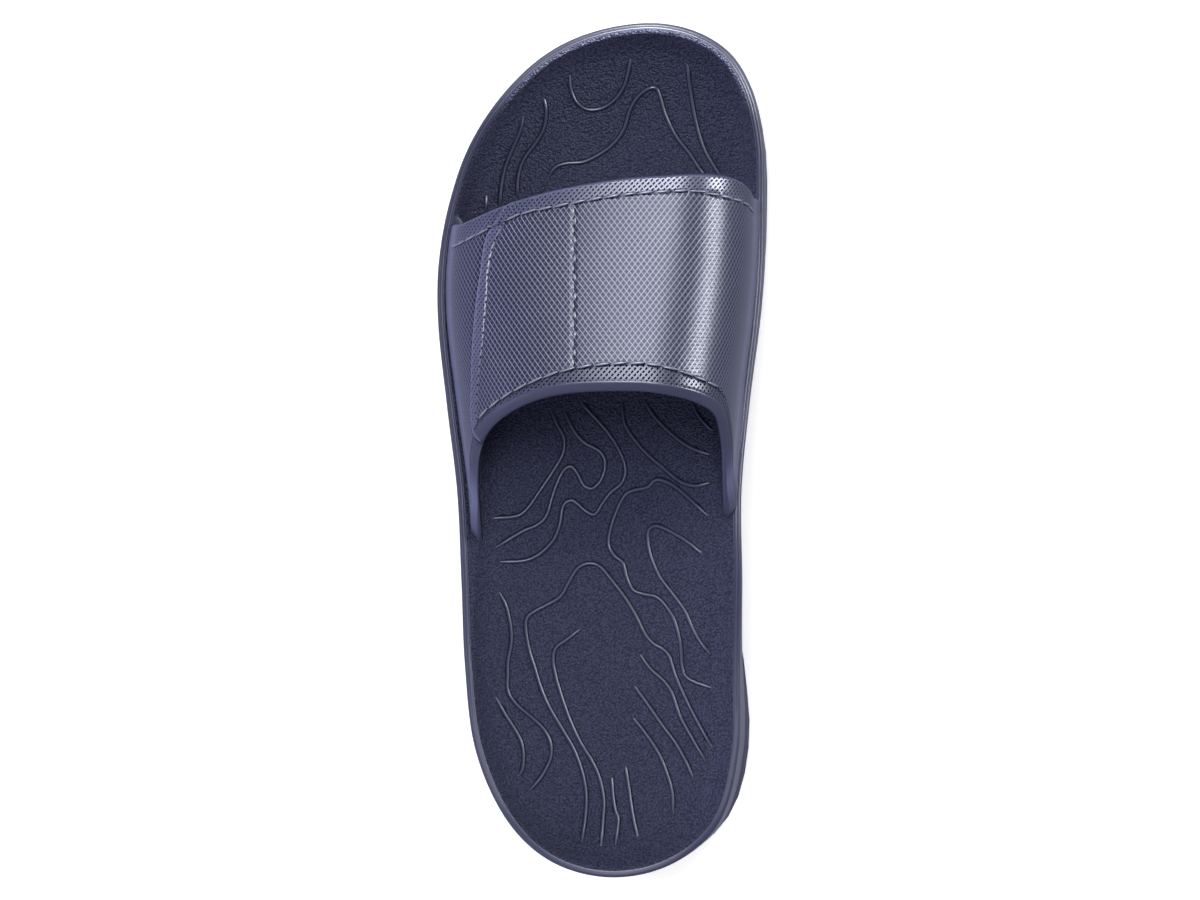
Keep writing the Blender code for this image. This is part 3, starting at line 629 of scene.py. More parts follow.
def big_toe_part(turn):
    """0 on the little-toe side, 1 on the big-toe side, half at both tips."""
    return 0.5 - 0.5 * math.sin(turn)


def rim_height(y, turn):
    share = share_at(y)
    low, high = column(HEIGHTS, 2, share), column(HEIGHTS, 3, share)
    return ground(y) + RIM_HEIGHT * (low + (high - low) * big_toe_part(turn))


def footbed_height(y, across):
    """Height of the footbed. Across is -1 at its little-toe edge and 1 at its big-toe edge."""
    share = share_at(y)
    dish = HEEL_DISH * column(SIDES, 3, share)
    arch = ARCH_SUPPORT * column(SIDES, 4, share) * max(across, 0.0) ** 2
    return ground(y) + HEEL_STACK * column(HEIGHTS, 1, share) + dish * across**2 + arch


def tuck(share):
    """How far the tread layer stays inside the rim at the waist."""
    return WAIST_TUCK * column(SIDES, 1, share)


def flare(share, turn):
    """How far the tread layer stands out past the rim at the heel."""
    reach = HEEL_FLARE * (OUTER_FLARE + (1 - OUTER_FLARE) * big_toe_part(turn))
    return reach * column(SIDES, 2, share)


def strap_inset(share, side):
    return STRAP_INSET * column(STRAP_FEET, 1 if side < 0 else 2, share)


def seat_inset(share, turn):
    """The inner edge of the rim, which widens to carry the strap."""
    low, high = strap_inset(share, -1), strap_inset(share, 1)
    seat = low + (high - low) * big_toe_part(turn) + STRAP_WALL + CLEARANCE
    front = STRAP_EDGES[0 if turn < math.pi else -1][1]
    kept = column(SIDES, 5, share) * (1 - smooth(*SEAT_RUN, share - front))
    return RIM_WIDTH + (seat - RIM_WIDTH) * kept


class Surface:
    """Gathers points and faces, and for some points their values in named layers."""

    def __init__(self):
        self.points, self.faces, self.slots = [], [], []
        self.layers = {}

    def add(self, point, **values):
        for title, value in values.items():
            self.layers.setdefault(title, {})[len(self.points)] = value
        self.points.append(tuple(point))
        return len(self.points) - 1

    def face(self, corners, slot=0):
        self.faces.append(tuple(corners))
        self.slots.append(slot)

    def sheet(self, lines, flip=False):
        """Joins lines of points that have the same count, each one to the next."""
        for near, far in zip(lines, lines[1:]):
            if flip:
                near, far = far, near
            for i in range(len(near) - 1):
                self.face((near[i], near[i + 1], far[i + 1], far[i]))

    def build(self, name, materials, flip=False):
        mesh = bpy.data.meshes.new(name)
        mesh.from_pydata(self.points, [], self.faces)
        for material in materials:
            mesh.materials.append(material)
        mesh.polygons.foreach_set("material_index", self.slots)
        corners = [0] * len(mesh.loops)
        mesh.loops.foreach_get("vertex_index", corners)
        for title, values in self.layers.items():
            layer = mesh.uv_layers.new(name=title)
            flat = [part for corner in corners for part in values.get(corner, (0.0, 0.0))]
            layer.data.foreach_set("uv", flat)
        if flip:
            mesh.flip_normals()
        mesh.shade_smooth()
        mesh.update()
        made = bpy.data.objects.new(name, mesh)
        HOME.objects.link(made)
        return made


HOME = bpy.data.collections.new("dressing")
bpy.context.scene.collection.children.link(HOME)


class Finish:
    """One Principled material with helpers for its procedural nodes."""

    def __init__(self, name, colour, roughness):
        self.material = bpy.data.materials.new(name)
        self.material.use_nodes = True
        self.tree = self.material.node_tree
        self.shader = self.tree.nodes["Principled BSDF"]
        self.set("Base Color", colour)
        self.set("Roughness", roughness)
        self.set("Metallic", 0.0)

    def set(self, socket, value):
        self.shader.inputs[socket].default_value = value

    def node(self, kind, **settings):
        made = self.tree.nodes.new(kind)
        for key, value in settings.items():
            setattr(made, key, value)
        return made

    def plug(self, value, socket):
        if isinstance(value, (int, float)):
            socket.default_value = value
        else:
            self.tree.links.new(value, socket)

    def math(self, operation, *values):
        made = self.node("ShaderNodeMath", operation=operation)
        for value, socket in zip(values, made.inputs):
            self.plug(value, socket)
        return made.outputs[0]

    def plus(self, *values):
        return self.math("ADD", *values)

    def minus(self, *values):
        return self.math("SUBTRACT", *values)

    def times(self, *values):
        return self.math("MULTIPLY", *values)

    def uv(self, title):
        """The two values of a layer."""
        split = self.node("ShaderNodeSeparateXYZ")
        self.tree.links.new(self.node("ShaderNodeUVMap", uv_map=title).outputs[0], split.inputs[0])
        return split.outputs[0], split.outputs[1]

    def place(self):
        return self.node("ShaderNodeTexCoord").outputs["Object"]

    def noise(self, size, detail):
        """Soft noise with features of about this size in metres."""
        made = self.node("ShaderNodeTexNoise")
        self.tree.links.new(self.place(), made.inputs["Vector"])
        made.inputs["Scale"].default_value = 1 / size
        made.inputs["Detail"].default_value = detail
        made.inputs["Roughness"].default_value = NOISE_ROUGH
        return made.outputs[0]

    def cells(self, size):
        """Distance from the middle of the nearest of small cells of about this size in metres."""
        made = self.node("ShaderNodeTexVoronoi")
        self.tree.links.new(self.place(), made.inputs["Vector"])
        made.inputs["Scale"].default_value = 1 / size
        return made.outputs[0]

    def ramp(self, value, low, high):
        """0 at low, 1 at high and a smooth rise between them, whichever is larger."""
        made = self.node("ShaderNodeMapRange", interpolation_type="SMOOTHSTEP")
        self.plug(value, made.inputs["Value"])
        made.inputs["From Min"].default_value = low
        made.inputs["From Max"].default_value = high
        return made.outputs[0]

    def bump(self, height, depth, strength=1.0, under=None):
        made = self.node("ShaderNodeBump")
        made.inputs["Strength"].default_value = strength
        made.inputs["Distance"].default_value = depth
        self.tree.links.new(height, made.inputs["Height"])
        if under is not None:
            self.tree.links.new(under, made.inputs["Normal"])
        return made.outputs[0]

    def normal(self, socket):
        self.tree.links.new(socket, self.shader.inputs["Normal"])

    def tint(self, amount, dark, light):
        """Base colour between two tints, by a value from 0 to 1."""
        made = self.node("ShaderNodeMix", data_type="RGBA")
        self.plug(amount, made.inputs["Factor"])
        made.inputs["A"].default_value = dark
        made.inputs["B"].default_value = light
        self.tree.links.new(made.outputs["Result"], self.shader.inputs["Base Color"])

    def polished(self, usual, more):
        """Gloss that grows on the toe rim, where the mould is polished."""
        self.set("Specular IOR Level", usual)
        gloss = self.plus(self.times(self.uv("polish")[0], more), usual)
        self.plug(gloss, self.shader.inputs["Specular IOR Level"])


def shade(colour, factor):
    return tuple(min(value * factor, 1.0) for value in colour[:3]) + (1.0,)


def smooth_foam():
    """The wall and the rim: moulded skin with a faint unevenness."""
    made = Finish("foam_skin", SKIN_NAVY, SKIN_ROUGH)
    made.set("Specular Tint", GLOSS_TINT)
    made.normal(made.bump(made.noise(SKIN_FINE, 3.0), FINE_DEPTH, FINE_STRENGTH))
    made.polished(SKIN_GLOSS, SKIN_POLISH)
    return made.material


def grained_foam():
    """The footbed: a fine leather-like grain of small pebbles."""
    made = Finish("foam_grain", BED_NAVY, BED_ROUGH)
    made.set("Specular Tint", BED_GLOSS_TINT)
    pebbles = made.minus(1.0, made.cells(PEBBLE))
    height = made.plus(pebbles, made.times(made.noise(BED_FINE, 2.0), BED_MIX))
    made.polished(BED_GLOSS, BED_POLISH)
    made.normal(made.bump(height, BED_DEPTH, 1.0))
    made.tint(
        made.ramp(height, *BED_SPAN), shade(BED_NAVY, BED_DARK), shade(BED_NAVY, BED_LIGHT),
    )
    return made.material


def stitch_highlight_foam():
    """The moulded stitches: smooth, and painted lighter than the knit as a painted highlight,
    because they stand proud.
    """
    made = Finish("foam_stitch_highlight", STITCH_HIGHLIGHT_NAVY, STITCH_ROUGH)
    made.set("Specular IOR Level", STITCH_GLOSS)
    made.set("Specular Tint", GLOSS_TINT)
    return made.material


def ridge_foam():
    """The contour ridges: smooth, and a little lighter than the grain round them."""
    made = Finish("foam_ridge", shade(BED_NAVY, RIDGE_TONE), RIDGE_ROUGH)
    made.set("Specular IOR Level", RIDGE_GLOSS)
    made.set("Specular Tint", GLOSS_TINT)
    return made.material


def crease_foam():
    """The crease along a ridge, where little light gets in."""
    made = Finish("foam_crease_shade", shade(BED_NAVY, CREASE_SHADE_TONE), CREASE_ROUGH)
    made.set("Specular IOR Level", 0.0)
    return made.material


def knit_foam():
    """The strap: a moulded lattice of thin threads in its field and a braid in its bands, with
    painted highlight and shade in its colour.
    """
    made = Finish("foam_knit", STRAP_NAVY, KNIT_ROUGH)
    made.set("Specular IOR Level", KNIT_GLOSS)
    made.set("Specular Tint", GLOSS_TINT)
    across, along = made.uv("pattern")
    field, band = made.uv("zone")
    # The groove layer holds the depth in a groove and the tone with its painted highlights and shade
    slit, painted_light_and_band_tone = made.uv("groove")

    def slants(pitch, row):
        """Distances from the nearest line of the two slants of a lattice, with their sign."""
        a = made.math("DIVIDE", across, pitch)
        b = made.math("DIVIDE", along, 2 * row)
        return [
            made.minus(made.math("FRACT", made.plus(slant, 0.5)), 0.5)
            for slant in (made.plus(a, b), made.minus(a, b))
        ]

    u, v = slants(KNIT_PITCH, KNIT_ROW)
    # One slant of threads is made stronger than the other across the strap, in relief and tone:
    # painted light from one side
    lean = made.times(made.ramp(across, *THREAD_TURN), THREAD_GROWS)
    weights = (made.plus(lean, THREAD_LEAST), made.minus(1.0, lean))
    threads = made.math("MAXIMUM", *[
        made.times(made.ramp(made.math("ABSOLUTE", slant), *THREAD_RUN), weight)
        for slant, weight in zip((u, v), weights)
    ])
    x = made.times(made.plus(u, v), KNIT_PITCH / 2 / DIMPLE_HALF[0])
    y = made.times(made.minus(u, v), KNIT_ROW / DIMPLE_HALF[1])
    reach = made.math("SQRT", made.plus(made.times(x, x), made.times(y, y)))
    dimples = made.ramp(reach, *DIMPLE_RUN)

    p, q = slants(BRAID_PITCH, BRAID_ROW)
    dashes = made.ramp(made.math("ABSOLUTE", p), *DASH_RUN)
    ties = made.ramp(made.math("ABSOLUTE", q), *TIE_RUN)
    weave = made.minus(made.math("MAXIMUM", dashes, ties), BRAID_MIDDLE)
    braid = made.times(made.times(weave, BRAID_TONE), band)

    relief = made.minus(made.times(threads, THREAD_HEIGHT), made.times(dimples, DIMPLE_SINK))
    height = made.plus(made.times(relief, field), braid)
    under = made.bump(made.noise(KNIT_FINE, 2.0), FINE_DEPTH, FINE_STRENGTH)
    made.normal(made.bump(height, KNIT_DEPTH, 1.0, under))
    # Threads painted lighter and dimples darker: painted highlight and painted shade of the knit's
    # relief
    bright = made.minus(made.times(threads, THREAD_HIGHLIGHT), FIELD_TONE)
    knit = made.minus(bright, made.times(dimples, DIMPLE_SHADE))
    light = made.plus(made.times(knit, field), braid)
    # The stitch grooves are painted darker, as painted shade
    tone_and_painted_light = made.minus(made.plus(light, painted_light_and_band_tone), made.times(slit, GROOVE_SHADE))
    made.tint(
        made.ramp(tone_and_painted_light, *TONE_SPAN), shade(STRAP_NAVY, TONE_DARK), shade(STRAP_NAVY, TONE_LIGHT),
    )
    gloss = made.plus(made.times(tone_and_painted_light, GLOSS_GROWS), GLOSS_USUAL)
    made.plug(made.math("MAXIMUM", gloss, GLOSS_LEAST), made.shader.inputs["Specular IOR Level"])
    return made.material


def crown(share, step):
    """How far the rim drops towards its outer edge at toe and heel, in millimetres."""
    drop = TOE_CROWN * smooth(*TOE_CROWN_RUN, share) + HEEL_CROWN * smooth(*HEEL_CROWN_RUN, share)
    return drop * max(1 - step / CROWN_WIDTH, 0.0)


def inner_drop(share, drop):
    """How far the rim drops near its inner edge, in millimetres, from its drop at mid sole."""
    return drop * (1 - TOE_FLAT * smooth(*TOE_CROWN_RUN, share))


def on_seat(flat, turn):
    """Whether a place on the rim is the smooth seat that shows in front of the strap."""
    edges = STRAP_EDGES[0] if turn < math.pi else STRAP_EDGES[-1]
    return edges[1] - SEAT_BEHIND < share_at(flat.y) < edges[1] + SEAT_AHEAD


def plan_ring(turns, inset, height):
    """Points round the sole, inset from the outline."""
    points = []
    for turn, flat, inward in turns:
        share = share_at(flat.y)
        spot = flat + inset(share, turn) * inward
        points.append((spot.x, spot.y, height(spot.y, turn)))
    return points


def sole_body():
    """The foam body: side wall with its step lines, rim, cup and footbed."""
    angles = [2 * math.pi * i / SOLE_STEPS for i in range(SOLE_STEPS)]
    turns = [(turn, rim_point(turn), inward_at(turn)) for turn in angles]
    surface = Surface()
    join = OUTSOLE_THICKNESS + CLEARANCE
    rings = []

    def add(points):
        rings.append([surface.add(point) for point in points])

    def add_polished(inset, height):
        """A ring of the wall or the rim, which are polished round the toe."""
        rings.append([
            surface.add(point, polish=(smooth(*TOE_CROWN_RUN, share_at(point[1])), 0.0))
            for point in plan_ring(turns, inset, height)
        ])

    corner = RIM_OUTER[0][1] * MM
    for rise, out, proud, kept in WALL:
        def inset(share, turn):
            belly = WALL_BELLY * (1 - math.sin(math.pi * rise))
            edge = tuck(share) * (1 - out) - flare(share, turn) * (1 - kept)
            return edge + RIB_DEPTH * (1 - proud) + belly

        def height(y, turn):
            low = ground(y) + join
            top = rim_height(y, turn) - corner - crown(share_at(y), 0.0) * MM
            return low + (top - low) * rise

        add_polished(inset, height)
    for step, drop, line in RIM_OUTER + (RIM_STEP + (0.0,),):
        add_polished(
            lambda share, turn: WALL_BELLY + step * MM,
            lambda y, turn: rim_height(y, turn) - MM * (
                drop + line * smooth(*RIM_LINES, share_at(y)) + crown(share_at(y), step)
            ),
        )
    skin_rings = len(rings) - 1
    for step, drop in RIM_INNER:
        add_polished(
            lambda share, turn: WALL_BELLY * INNER_BELLY + seat_inset(share, turn) - step * MM,
            lambda y, turn: rim_height(y, turn) - inner_drop(share_at(y), drop) * MM,
        )
    seat_rings = len(rings) - 1
    for part, drop in CUP:
        def height(y, turn):
            edge = footbed_height(y, math.copysign(1.0, -math.sin(turn)))
            lip = inner_drop(share_at(y), RIM_INNER[-1][1]) * MM
            return edge + (rim_height(y, turn) - lip - edge) * (1 - drop)

        add(plan_ring(turns, lambda share, turn: seat_inset(share, turn) + CUP_RUN * part, height))
    half = SOLE_STEPS // 2
    edge = [Vector(surface.points[i]) for i in rings[-1]]
    middles = [(edge[i] + edge[(SOLE_STEPS - i) % SOLE_STEPS]) / 2 for i in range(SOLE_STEPS)]
    for k in range(1, BED_RINGS + 1):
        across = 1 - k / (BED_RINGS + 1)
        points = []
        for i, point in enumerate(edge):
            home = Vector((middles[i].x, middles[i].y * SPINE_SHARE, 0.0))
            spot = home.lerp(Vector((point.x, point.y, 0.0)), across)
            side = across if point.x > middles[i].x else -across
            points.append((spot.x, spot.y, footbed_height(spot.y, side)))
        add(points)
    spine = []
    for i in range(half + 1):
        y = middles[i].y * SPINE_SHARE
        spine.append(surface.add((middles[i].x, y, footbed_height(y, 0.0))))
    for number, (lower, upper) in enumerate(zip(rings, rings[1:])):
        for i in range(SOLE_STEPS):
            j = (i + 1) % SOLE_STEPS
            skin = number + 1 < (seat_rings if on_seat(turns[i][1], turns[i][0]) else skin_rings)
            surface.face((lower[i], lower[j], upper[j], upper[i]), 0 if skin else 1)
    inner = rings[-1]
    for i in range(SOLE_STEPS):
        j = (i + 1) % SOLE_STEPS
        a = spine[i if i <= half else SOLE_STEPS - i]
        b = spine[j if j <= half else SOLE_STEPS - j]
        corners = [inner[i], inner[j], b, a] if a != b else [inner[i], inner[j], b]
        surface.face(corners, 1)
    first = rings[0]
    surface.face((first[0], first[SOLE_STEPS - 1], first[1]))
    surface.face((first[half], first[half - 1], first[half + 1]))
    for i in range(1, half - 1):
        surface.face((
            first[SOLE_STEPS - i], first[SOLE_STEPS - i - 1], first[i + 1], first[i],
        ))
    return surface.build("sole_body", [SKIN, GRAIN])


def strap_point(degrees, share, depth):
    """A point of the strap's arch at a share along the sole, at a depth under its outer face."""
    y = (share - 0.5) * LENGTH
    left = side_x(share, -1, strap_inset(share, -1))
    right = side_x(share, 1, strap_inset(share, 1))
    crest_x = left + (right - left) * column(CREST, 1, share)
    front, rear = STRAP_EDGES[6][1], STRAP_EDGES[5][2]
    growth = (INSTEP_HEIGHT - STRAP_FRONT_HEIGHT) * (front - share) / (front - rear)
    crest_z = footbed_height(y, 0) + (STRAP_FRONT_HEIGHT + growth)
    cosine, sine = math.cos(math.radians(degrees)), math.sin(math.radians(degrees))
    side = -1 if cosine > 0 else 1
    reach = (crest_x - left if side < 0 else right - crest_x) - depth
    foot = rim_height(y, side_turn(share, side)) + CLEARANCE
    power = 2 / SHOULDER
    x = crest_x + side * reach * abs(cosine) ** power
    z = foot + (crest_z - depth - foot) * max(sine, 0.0) ** power
    return Vector((x, y, z))


def cluster(middle, half, count):
    return [middle - half + 2 * half * i / (count - 1) for i in range(count)]


def between(start, stop, count):
    """The inner limits of so many even parts."""
    return [start + (stop - start) * i / count for i in range(1, count)]


def bell(at, middle, width, height):
    return height * math.exp(-((at - middle) / width) ** 2)


def within(at, run):
    """1 between the two inner limits of a run, 0 outside its outer ones."""
    return smooth(run[0], run[1], at) * (1 - smooth(run[2], run[3], at))


def groove(distance):
    """Depth of a stitch groove at a distance from its middle, in millimetres."""
    if abs(distance) > GROOVE_HALF:
        return 0.0
    return GROOVE_DEPTH * (0.5 + 0.5 * math.cos(math.pi * distance / GROOVE_HALF))


def stitch_ends(kind):
    """Angles over the arch at which two stitches of an edge line meet."""
    ends = []
    for title, start, stop, pitch, length, swing, seat in STITCH_LINES:
        if title != kind:
            continue
        path = stitch_path(title, start, stop, seat)
        total, goal = 0.0, 0.0
        for i, (near, far) in enumerate(zip(path, path[1:])):
            if total >= goal:
                ends.append(start + (stop - start) * i / PATH_STEPS)
                goal += pitch
            total += (far - near).length / MM
    return ends


def groove_open(angle, ends):
    """How deep a groove is at an angle: full along a stitch and shallow where two meet."""
    for near, far in zip(ends, ends[1:]):
        if near <= angle < far:
            part = (angle - near) / (far - near)
            return GROOVE_NECK + (1 - GROOVE_NECK) * smooth(0.0, NECK_RUN, min(part, 1 - part))
    return 1.0


def strap_degrees(across):
    """Angles of the strap's columns at a share from front edge to rear edge."""
    step = column(OVERLAY, 1, across)
    line = column(OVERLAY_STITCH, 1, across)
    seam = column(SEAM, 1, across)
    angles = [0.0] + between(0.0, step, FOOT_COLUMNS)[:-2]
    angles += [step + lap for lap in OVERLAP_LAPS]
    angles += between(step + OVERLAP_GAP, line - OVERLAY_GAP, BORDER_COLUMNS)
    angles += cluster(line, OVERLAY_HALF, GROOVE_LAPS)
    angles += between(line + OVERLAY_HALF, seam - SEAM_GAP, PANEL_COLUMNS)
    angles += cluster(seam, SEAM_HALF, GROOVE_LAPS)
    angles += between(seam + SEAM_HALF, 180.0, FIELD_COLUMNS) + [180.0]
    return sorted(angles)


def strap_rows(length, front, rear):
    """Rows from front edge to rear edge, in millimetres from the front edge."""
    stop, last = length - rear, length - ROLL
    rows = list(FRONT_LAPS)
    rows += cluster(front, GROOVE_HALF, GROOVE_LAPS)
    rows += between(front + GROOVE_HALF, stop - GROOVE_HALF, FIELD_ROWS)
    rows += cluster(stop, GROOVE_HALF, GROOVE_LAPS)
    rows += between(stop + GROOVE_HALF, last, BAND_ROWS)
    rows += [last + ROLL * part for part in ROLL_PARTS]
    return rows


def pattern_runs(outer, angles):
    """For each column and row, how far along its row a point is from the seam, in millimetres."""
    seam = column(SEAM, 1, 0.5)
    home = min(range(len(angles)), key=lambda number: abs(angles[number] - seam))
    runs = [[0.0] * len(outer[0])]
    for before, strip in zip(outer, outer[1:]):
        runs.append([
            run + (spot[0] - last[0]).length / MM for run, last, spot in zip(runs[-1], before, strip)
        ])
    return [[run - start for run, start in zip(line, runs[home])] for line in runs]


def strap_face(angle, across, at_front, at_rear, ends):
    """Relief and pattern at a place of the strap's outer face.

    Gives its depth under the smooth arch in millimetres, how much of the field's knit and of the
    bands' braid shows there, how deep it lies in a groove, and its tone, which holds painted
    highlights and painted shade.
    """
    past = angle - column(OVERLAY, 1, across)
    overlay_line = column(OVERLAY_STITCH, 1, across)
    front_line, rear_line = column(FRONT_STITCH, 1, angle), column(REAR_STITCH, 1, angle)
    from_foot = min(angle, 180 - angle)

    full_front = within(angle, FRONT_RUN) * groove_open(angle, ends[0])
    full_rear = within(angle, REAR_RUN) * groove_open(angle, ends[1])
    full_seam = SEAM_GROOVE * within(across, SEAM_RUN)
    cut = full_front * groove(at_front - front_line)
    cut += full_rear * groove(at_rear - rear_line)
    cut += within(across, OVERLAY_RUN) * groove((angle - overlay_line) * OVERLAY_SCALE)
    cut += full_seam * groove((angle - column(SEAM, 1, across)) * SEAM_SCALE)

    depth = OVERLAY_STEP / MM * (1 - smooth(*OVERLAP_RUN, past))
    depth -= bell(past, *OVERLAP_LIP)
    depth -= FOOT_FLARE * (1 - smooth(0.0, FOOT_RUN, from_foot))
    depth += cut
    depth += (STRAP_WALL - EDGE_WALL) / MM / 2 * (1 - smooth(0.0, EDGE_RUN, at_front)) ** 2
    depth += ROLL_DROP * max(1 - at_rear / ROLL, 0.0) ** ROLL_POWER
    depth += bell(at_rear, *ROLL_CREASE)

    # Painted highlights on the overlap's lip, the front edge and the feet, and painted shade just
    # under the overlap's edge
    tone_and_painted_light = bell(past, *HEM_HIGHLIGHT) + bell(past, *HEM_SHADE)
    tone_and_painted_light += bell(at_front, *EDGE_HIGHLIGHT) + bell(from_foot, *FOOT_HIGHLIGHT)
    past_stitches = smooth(*REAR_BAND_STOP, at_rear - rear_line)
    tone_and_painted_light += REAR_BAND_TONE * smooth(*REAR_BAND_START, at_rear) * (1 - past_stitches)
    tone_and_painted_light += FRONT_BAND_TONE * (1 - smooth(*FRONT_BAND_RUN, at_front))

    knit = within(angle, KNIT_RUN) * smooth(*ROLL_BARE, at_rear) * smooth(*EDGE_BARE, at_front)
    knit *= 1 - bell(past, *HEM_BARE)
    in_band = at_front < front_line or ROLL < at_rear < rear_line
    in_border = past > OVERLAP_BARE and angle < overlay_line
    zone = (0.0, knit) if in_band or in_border else (knit, 0.0)
    return depth, zone, min(cut / GROOVE_DEPTH, 1.0), tone_and_painted_light


def strap_shell():
    """The strap: outer face with its grooves and its overlapping panel, rolled edges, inner face."""
    surface = Surface()
    ends = stitch_ends("front"), stitch_ends("rear")
    middle_angles = strap_degrees(0.5)
    outer = []
    for number, degrees in enumerate(middle_angles):
        front, rear = column(STRAP_EDGES, 1, degrees), column(STRAP_EDGES, 2, degrees)
        length = (front - rear) * LENGTH / MM
        rows = strap_rows(length, column(FRONT_STITCH, 1, degrees), column(REAR_STITCH, 1, degrees))
        strip = []
        for row in rows:
            across = row / length
            angle = strap_degrees(across)[number]
            front, rear = column(STRAP_EDGES, 1, angle), column(STRAP_EDGES, 2, angle)
            length_here = (front - rear) * LENGTH / MM
            depth, zone, slit, tone_and_painted_light = strap_face(
                angle, across, across * length_here, (1 - across) * length_here, ends,
            )
            point = strap_point(angle, front - across * (front - rear), depth * MM)
            strip.append((point, angle, zone, (slit, tone_and_painted_light)))
        outer.append(strip)
    grid = [
        [
            surface.add(point, pattern=(run, -point.y / MM), zone=zone, groove=groove_and_painted_light)
            for run, (point, angle, zone, groove_and_painted_light) in zip(line, strip)
        ]
        for line, strip in zip(pattern_runs(outer, middle_angles), outer)
    ]
    # The inner face gets a darker tone: painted shade under the strap
    inner = [
        [
            surface.add(strap_point(angle, share_at(point.y), STRAP_WALL), groove=(0.0, INNER_SHADE))
            for point, angle, zone, groove_and_painted_light in strip
        ]
        for strip in outer
    ]
    surface.sheet(grid)
    surface.sheet(inner, flip=True)
    # Front and rear edge are rounded by lines of points that bulge past them
    for row, sign in ((0, 1), (-1, -1)):
        lines = [[line[row] for line in grid]]
        for part in EDGE_PARTS:
            bulge = Vector((0.0, sign * EDGE_BULGE * math.sin(math.pi * part), 0.0))
            lines.append([
                surface.add(
                    Vector(surface.points[a[row]]).lerp(Vector(surface.points[b[row]]), part) + bulge
                )
                for a, b in zip(grid, inner)
            ])
        lines.append([line[row] for line in inner])
        surface.sheet(lines, flip=sign < 0)
    for number, flip in ((0, False), (-1, True)):
        a, b = grid[number], inner[number]
        for i in range(len(a) - 1):
            corners = (a[i], a[i + 1], b[i + 1], b[i])
            surface.face(corners[::-1] if flip else corners)
    made = surface.build("strap_shell", [KNIT])
    fix = bmesh.new()
    fix.from_mesh(made.data)
    bmesh.ops.recalc_face_normals(fix, faces=fix.faces)
    fix.to_mesh(made.data)
    fix.free()
    made.data.shade_smooth()
    return made


def tree_of(item):
    """What the charted lines are laid on."""
    points = [vertex.co.copy() for vertex in item.data.vertices]
    return BVHTree.FromPolygons(points, [list(face.vertices) for face in item.data.polygons])


def lay(tree, x, y):
    """The point and normal of a surface under a charted place, in millimetres."""
    target = AIM + VIEW_RIGHT * (x * MM) + VIEW_UP * (y * MM)
    along = (target - EYE).normalized()
    point, normal = tree.ray_cast(EYE, along)[:2]
    if point is None:
        return None
    if normal.dot(along) > 0:
        normal = -normal
    return point, normal


def resample(points, step):
    """Even steps along a smooth curve through charted points."""
    fine = []
    knots = list(range(len(points)))
    for i in range(len(points) - 1):
        for k in range(CURVE_STEPS):
            at = i + k / CURVE_STEPS
            fine.append((
                follow(knots, [point[0] for point in points], at),
                follow(knots, [point[1] for point in points], at),
            ))
    fine.append(points[-1])
    made, since = [fine[0]], 0.0
    for a, b in zip(fine, fine[1:]):
        since += math.hypot(b[0] - a[0], b[1] - a[1])
        if since >= step:
            made.append(b)
            since = 0.0
    if since > step / 3:
        made.append(fine[-1])
    return made


def bead(surface, spots):
    """A low round ridge with a strip of painted shade at both sides, along a line of points and
    normals.
    """
    total = sum((b[0] - a[0]).length for a, b in zip(spots, spots[1:]))
    run, rows, creases = 0.0, [], []
    for i, (point, normal) in enumerate(spots):
        before, after = spots[max(i - 1, 0)][0], spots[min(i + 1, len(spots) - 1)][0]
        if i:
            run += (point - spots[i - 1][0]).length
        along = (after - before).normalized()
        sideways = normal.cross(along).normalized()
        rise = smooth(-RIDGE_PAST * RIDGE_TAPER, RIDGE_TAPER, min(run, total - run))
        half = RIDGE_WIDTH / 2 * (0.5 + 0.5 * rise)
        rows.append([
            surface.add(
                point + sideways * (half * part) + normal * (RIDGE_HEIGHT * rise * lift - RIDGE_SINK)
            )
            for part, lift in RIDGE_SECTION
        ])
        reaches = half + CREASE * rise, half * CREASE_START
        creases.append([
            surface.add(point + sideways * (side * reaches[edge]) + normal * CREASE_LIFTS[edge])
            for side, edge in ((-1, 0), (-1, 1), (1, 1), (1, 0))
        ])
    surface.sheet(rows)
    for near, far in zip(creases, creases[1:]):
        surface.face((near[0], near[1], far[1], far[0]), 1)
        surface.face((near[2], near[3], far[3], far[2]), 1)


def ridges(tree):
    """The contour ridges, each one laid on the footbed."""
    surface = Surface()
    for route in RIDGES:
        spots = [lay(tree, x, y) for x, y in resample(route, RIDGE_STEP / MM)]
        bead(surface, [spot for spot in spots if spot])
    return surface.build("footbed_ridges", [RIDGE, SHADOW], flip=True)


def capsule(surface, middle, along, normal, length):
    """One moulded stitch: a low grain of foam."""
    sideways = normal.cross(along).normalized()
    rows = []
    for end in STITCH_ENDS:
        swell = math.sqrt(max(1 - end**2, STITCH_TIP))
        rows.append([
            surface.add(
                middle + along * (length / 2 * end) + sideways * (STITCH_WIDTH / 2 * part * swell)
                + normal * (STITCH_HEIGHT * swell * math.sqrt(max(1 - part**2, 0.0)) - STITCH_SINK)
            )
            for part in STITCH_SECTION
        ])
    surface.sheet(rows)


